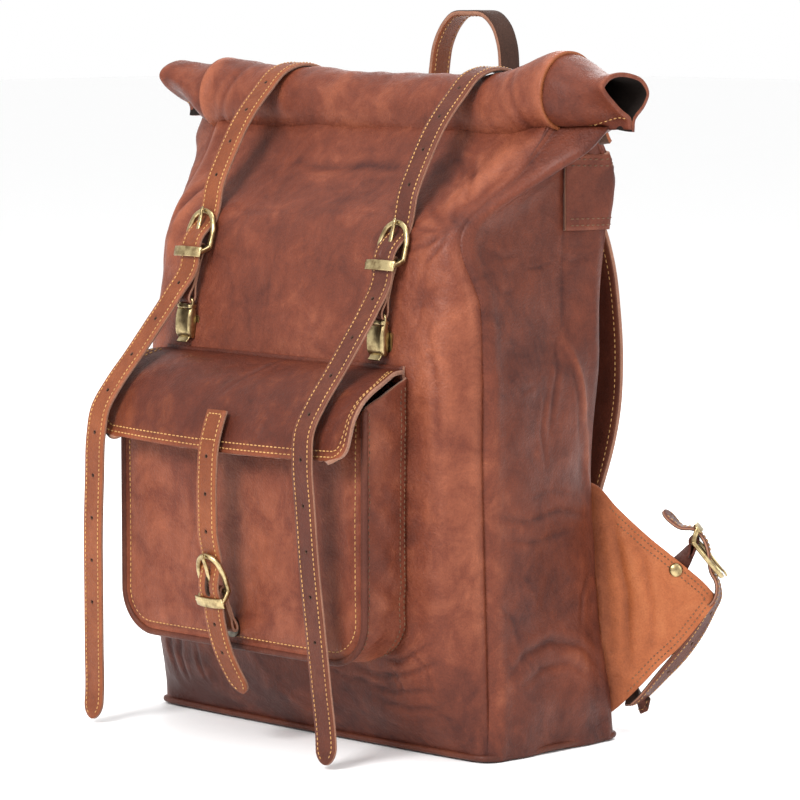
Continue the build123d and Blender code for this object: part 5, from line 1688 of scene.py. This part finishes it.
def wing_shape(x, y):
    """Soft cupping and folds of the wing."""
    spots = wing_at(x, y)
    bow = 3.2 * np.sin(pi * np.clip(x / WING_TIP, 0, 1)) * (1 - (y / 90.0) ** 2)
    soft = 0.9 * ripple(spots, 70.0, 91) + 0.3 * ripple(spots, 24.0, 92)
    folds = crease(x, y, [(10, -52), (14, 0), (9, 52)], 4.5, 1.5)
    folds = folds + crease(x, y, [(26, -44), (31, -10), (27, 30)], 4.0, 0.9)
    return bow + soft + folds, folds


def build_wing(side):
    flip, tag = side < 0, side_name(side)
    body = f"wing_{tag}"
    x = np.linspace(-8.0, WING_TIP, 50)
    upper = hermite([-8, 0, 14, 30, 46, 60, 69, WING_TIP], [82, 78, 60, 42, 26.5, 12.5, 3.0, -5.0], x)
    lower = hermite([-8, 0, 14, 32, 50, 63, 70, WING_TIP], [-84, -79, -68, -52.5, -38, -25, -17.5, -12.0], x)
    share = np.linspace(0, 1, 70)
    xx = np.broadcast_to(x[None], (70, 50))
    yy = lower[None] + (upper - lower)[None] * share[:, None]
    height, folds = wing_shape(xx, yy)
    points = wing_at(xx, yy, height + 1.75)
    normals = grid_normals(points)
    turned = np.sum(normals * WING_FACE, axis=-1).mean() < 0
    from_root = xx
    if turned:
        points = points[::-1]
        folds = folds[::-1]
    if flip:
        points = mirror_grid(points)
        folds, from_root = folds[:, ::-1], xx[:, ::-1]
    span = ("bag", body, (side * WING_ORIGIN[0], WING_ORIGIN[1], WING_ORIGIN[2]),
            tuple((WING_ORIGIN + 14 * WING_OUT) * (side, 1, 1)))
    # tone: fold ridges as wear, and darker within about a centimetre of the root where it meets the bag, as painted
    # shade
    strip(f"wing_{tag}", points, 3.2, WING, None, [f"wing_{tag}"],
          wear_and_painted_light=wear_and_shade_from(folds) + 0.15 - 0.9 * np.exp(-np.clip(from_root, 0, None) / 11.0), between=span)
    bits = Bits()
    for edge, way in ((upper, -1), (lower, 1)):
        for inset in (3.6, 7.6):
            xs = np.linspace(4 + inset, WING_TIP - 2.0 - inset * 0.55, 200)
            slope = np.gradient(np.interp(xs, x, edge), xs)
            ys = np.interp(xs, x, edge) + way * inset * np.sqrt(1 + slope ** 2)
            keep = (ys < np.interp(xs, x, upper) - 2) & (ys > np.interp(xs, x, lower) + 2)
            out, _ = wing_shape(xs[keep], ys[keep])
            path = wing_at(xs[keep], ys[keep], out + 1.8)
            stitches(bits, path * (side, 1, 1), WING_FACE * (side, 1, 1), pitch=3.0, length=1.6, radius=0.42)
    rows = bits.object(f"wing_stitching_{tag}", BROWN_THREAD, None, "tan_leather")
    attach(rows, None, span)

    rivet = Bits()
    spot = (50.0, 14.0)
    out = float(wing_shape(np.array([spot[0]]), np.array([spot[1]]))[0][0])
    rings, faces = [], []
    for radius, rise in ((2.0, -6.4), (4.2, -6.2), (4.2, -5.2), (1.6, -5.0), (1.6, out + 1.2), (4.9, out + 1.5),
                         (5.0, out + 1.9), (4.5, out + 2.8), (3.0, out + 3.4), (1.2, out + 3.65)):
        turn = np.linspace(0, 2 * pi, 24, endpoint=False)
        rings.append(wing_at(spot[0] + radius * np.cos(turn), spot[1] + radius * np.sin(turn), rise))
    faces = grid_faces(len(rings), 24, wrap=True)
    faces += [tuple(reversed(range(24))), tuple((len(rings) - 1) * 24 + j for j in range(24))]
    rivet.add(np.concatenate(rings), faces)
    metal(f"wing_rivet_{tag}", rivet, body, [f"wing_rivet_{tag}"], flip)

    heel, tip = wing_at(64.0, 33.0), wing_at(81.0, 7.0)
    place = Place(heel, tip, WING_FACE)
    buckle(f"wing_buckle_{tag}", place, body, [f"wing_buckle_{tag}"], flip)
    prong(f"wing_prong_{tag}", place, f"wing_prong_{tag}", [f"wing_prong_{tag}"], flip)

    tab = chaikin([(42, 7), (51, 5), (59, 14), (65.5, 27), (61.5, 32), (54, 26), (44, 19)], 2)
    tab_bits = Bits()
    frame_place = Place(WING_ORIGIN, WING_ORIGIN + WING_OUT * 10, WING_FACE)
    local = np.stack([tab[:, 0], tab[:, 1] * (1 if np.dot(frame_place.v, WING_UP) > 0 else -1)], 1)
    plate(tab_bits, frame_place, local, -4.6, -2.1, 0.3)
    local = Strap([tuple(wing_at(59.0, 22.0)), tuple(wing_at(61.0, 26.5)), tuple(wing_at(61.6, 31.0)),
                   tuple(wing_at(62.0, 34.6)), tuple(wing_at(64.6, 36.4)), tuple(wing_at(67.2, 34.4)),
                   tuple(wing_at(66.6, 30.6)), tuple(wing_at(64.6, 27.0)), tuple(wing_at(62.4, 22.5))],
                  15.0, 1.9, across=WING_FACE, step=1.2)
    verts, faces, kinds, _ = local.mesh(crown=0.1, roll=0.5)
    tab_bits.add(verts, faces)
    verts, faces = np.concatenate(tab_bits.verts), tab_bits.faces
    if flip:
        verts, faces = flipped(verts, faces)
    obj = make(f"wing_chape_{tag}", verts, faces, [DARK], body, [f"wing_chape_{tag}"])

    buckled = [np.array(p) for p in through(place)]
    line = [wing_at(45, 56), wing_at(50, 50), wing_at(56, 43.5)] + buckled[::-1]
    line += [wing_at(77, -6, -3), wing_at(70, -18, -9), wing_at(61, -31, -12), wing_at(48, -46, -13),
             wing_at(32, -61, -13), wing_at(14, -77, -10), np.array([160, 95, 25.0]), np.array([149, 101, 34.0]), np.array([142, 103, 56.0]),
             np.array([135, 100, 88.0]), np.array([128, 91, 128.0]), np.array([121.0, 79.6, 171.0])]
    aside = unit(0.8 * WING_OUT - 0.6 * WING_UP)
    twist = ([0.0, 0.06, 0.12, 0.18, 0.26, 0.38, 0.48, 0.60, 1.0],
             np.array([-WING_FACE + 0.25 * (WING_OUT + WING_UP), -WING_FACE, -WING_FACE, -WING_FACE,
                       -WING_FACE + 0.3 * aside, -WING_FACE + 0.5 * aside, -WING_FACE + 0.25 * aside, -WING_FACE,
                       -WING_FACE]))
    adjuster = Strap([tuple(p) for p in line], STRAP_WIDTH, 2.6, across=twist, tips=(True, False))
    pin = np.argmin(np.linalg.norm(adjuster.path - buckled[3], axis=1))
    cutters = Bits()
    adjuster.hole(cutters, adjuster.at[pin] - 4.5, 2.3, PRONG_SLOT + 4.0)
    for gap in (46.0, 72.0, 98.0):
        adjuster.hole(cutters, adjuster.at[pin] + gap, 1.35)
    reach = ("bag", body, (side * 123.0, 90, 100), (side * 142.0, 90, 100))
    # inner face darkened as painted shade
    adjuster.build(f"adjuster_strap_{tag}", DARK, [f"adjuster_strap_{tag}"], flip=flip,
                   cutters=cutters, between=reach, under=PAINTED_SHADE_UNDERSIDE)
    bits = Bits()
    adjuster.stitch(bits, start=4.0, stop=adjuster.length - 4, pitch=3.3, length=2.2, flip=flip)
    rows = bits.object(f"adjuster_stitching_{tag}", GOLD_THREAD, None, "dark_leather")
    attach(rows, None, reach)


for side in (1, -1):
    build_wing(side)

# ---- CAD pieces whose own shape is right --------------------------------------------------------
BOARD = fibre("fibreboard", (0.16, 0.12, 0.085), (0.07, 0.05, 0.035), scale=300.0)
STEEL = old_brass("nickelled steel", (0.16, 0.14, 0.11), (0.07, 0.062, 0.052))
for nodes, material in (
        (("base_board",), BOARD),
        (("magnet_base", "magnet_cap"), STEEL),
        (("clip_anchor_left", "clip_anchor_right", "clip_pin_left", "clip_pin_right"), BRASS)):
    for node in nodes:
        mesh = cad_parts[node].data
        mesh.materials.clear()
        mesh.materials.append(material)
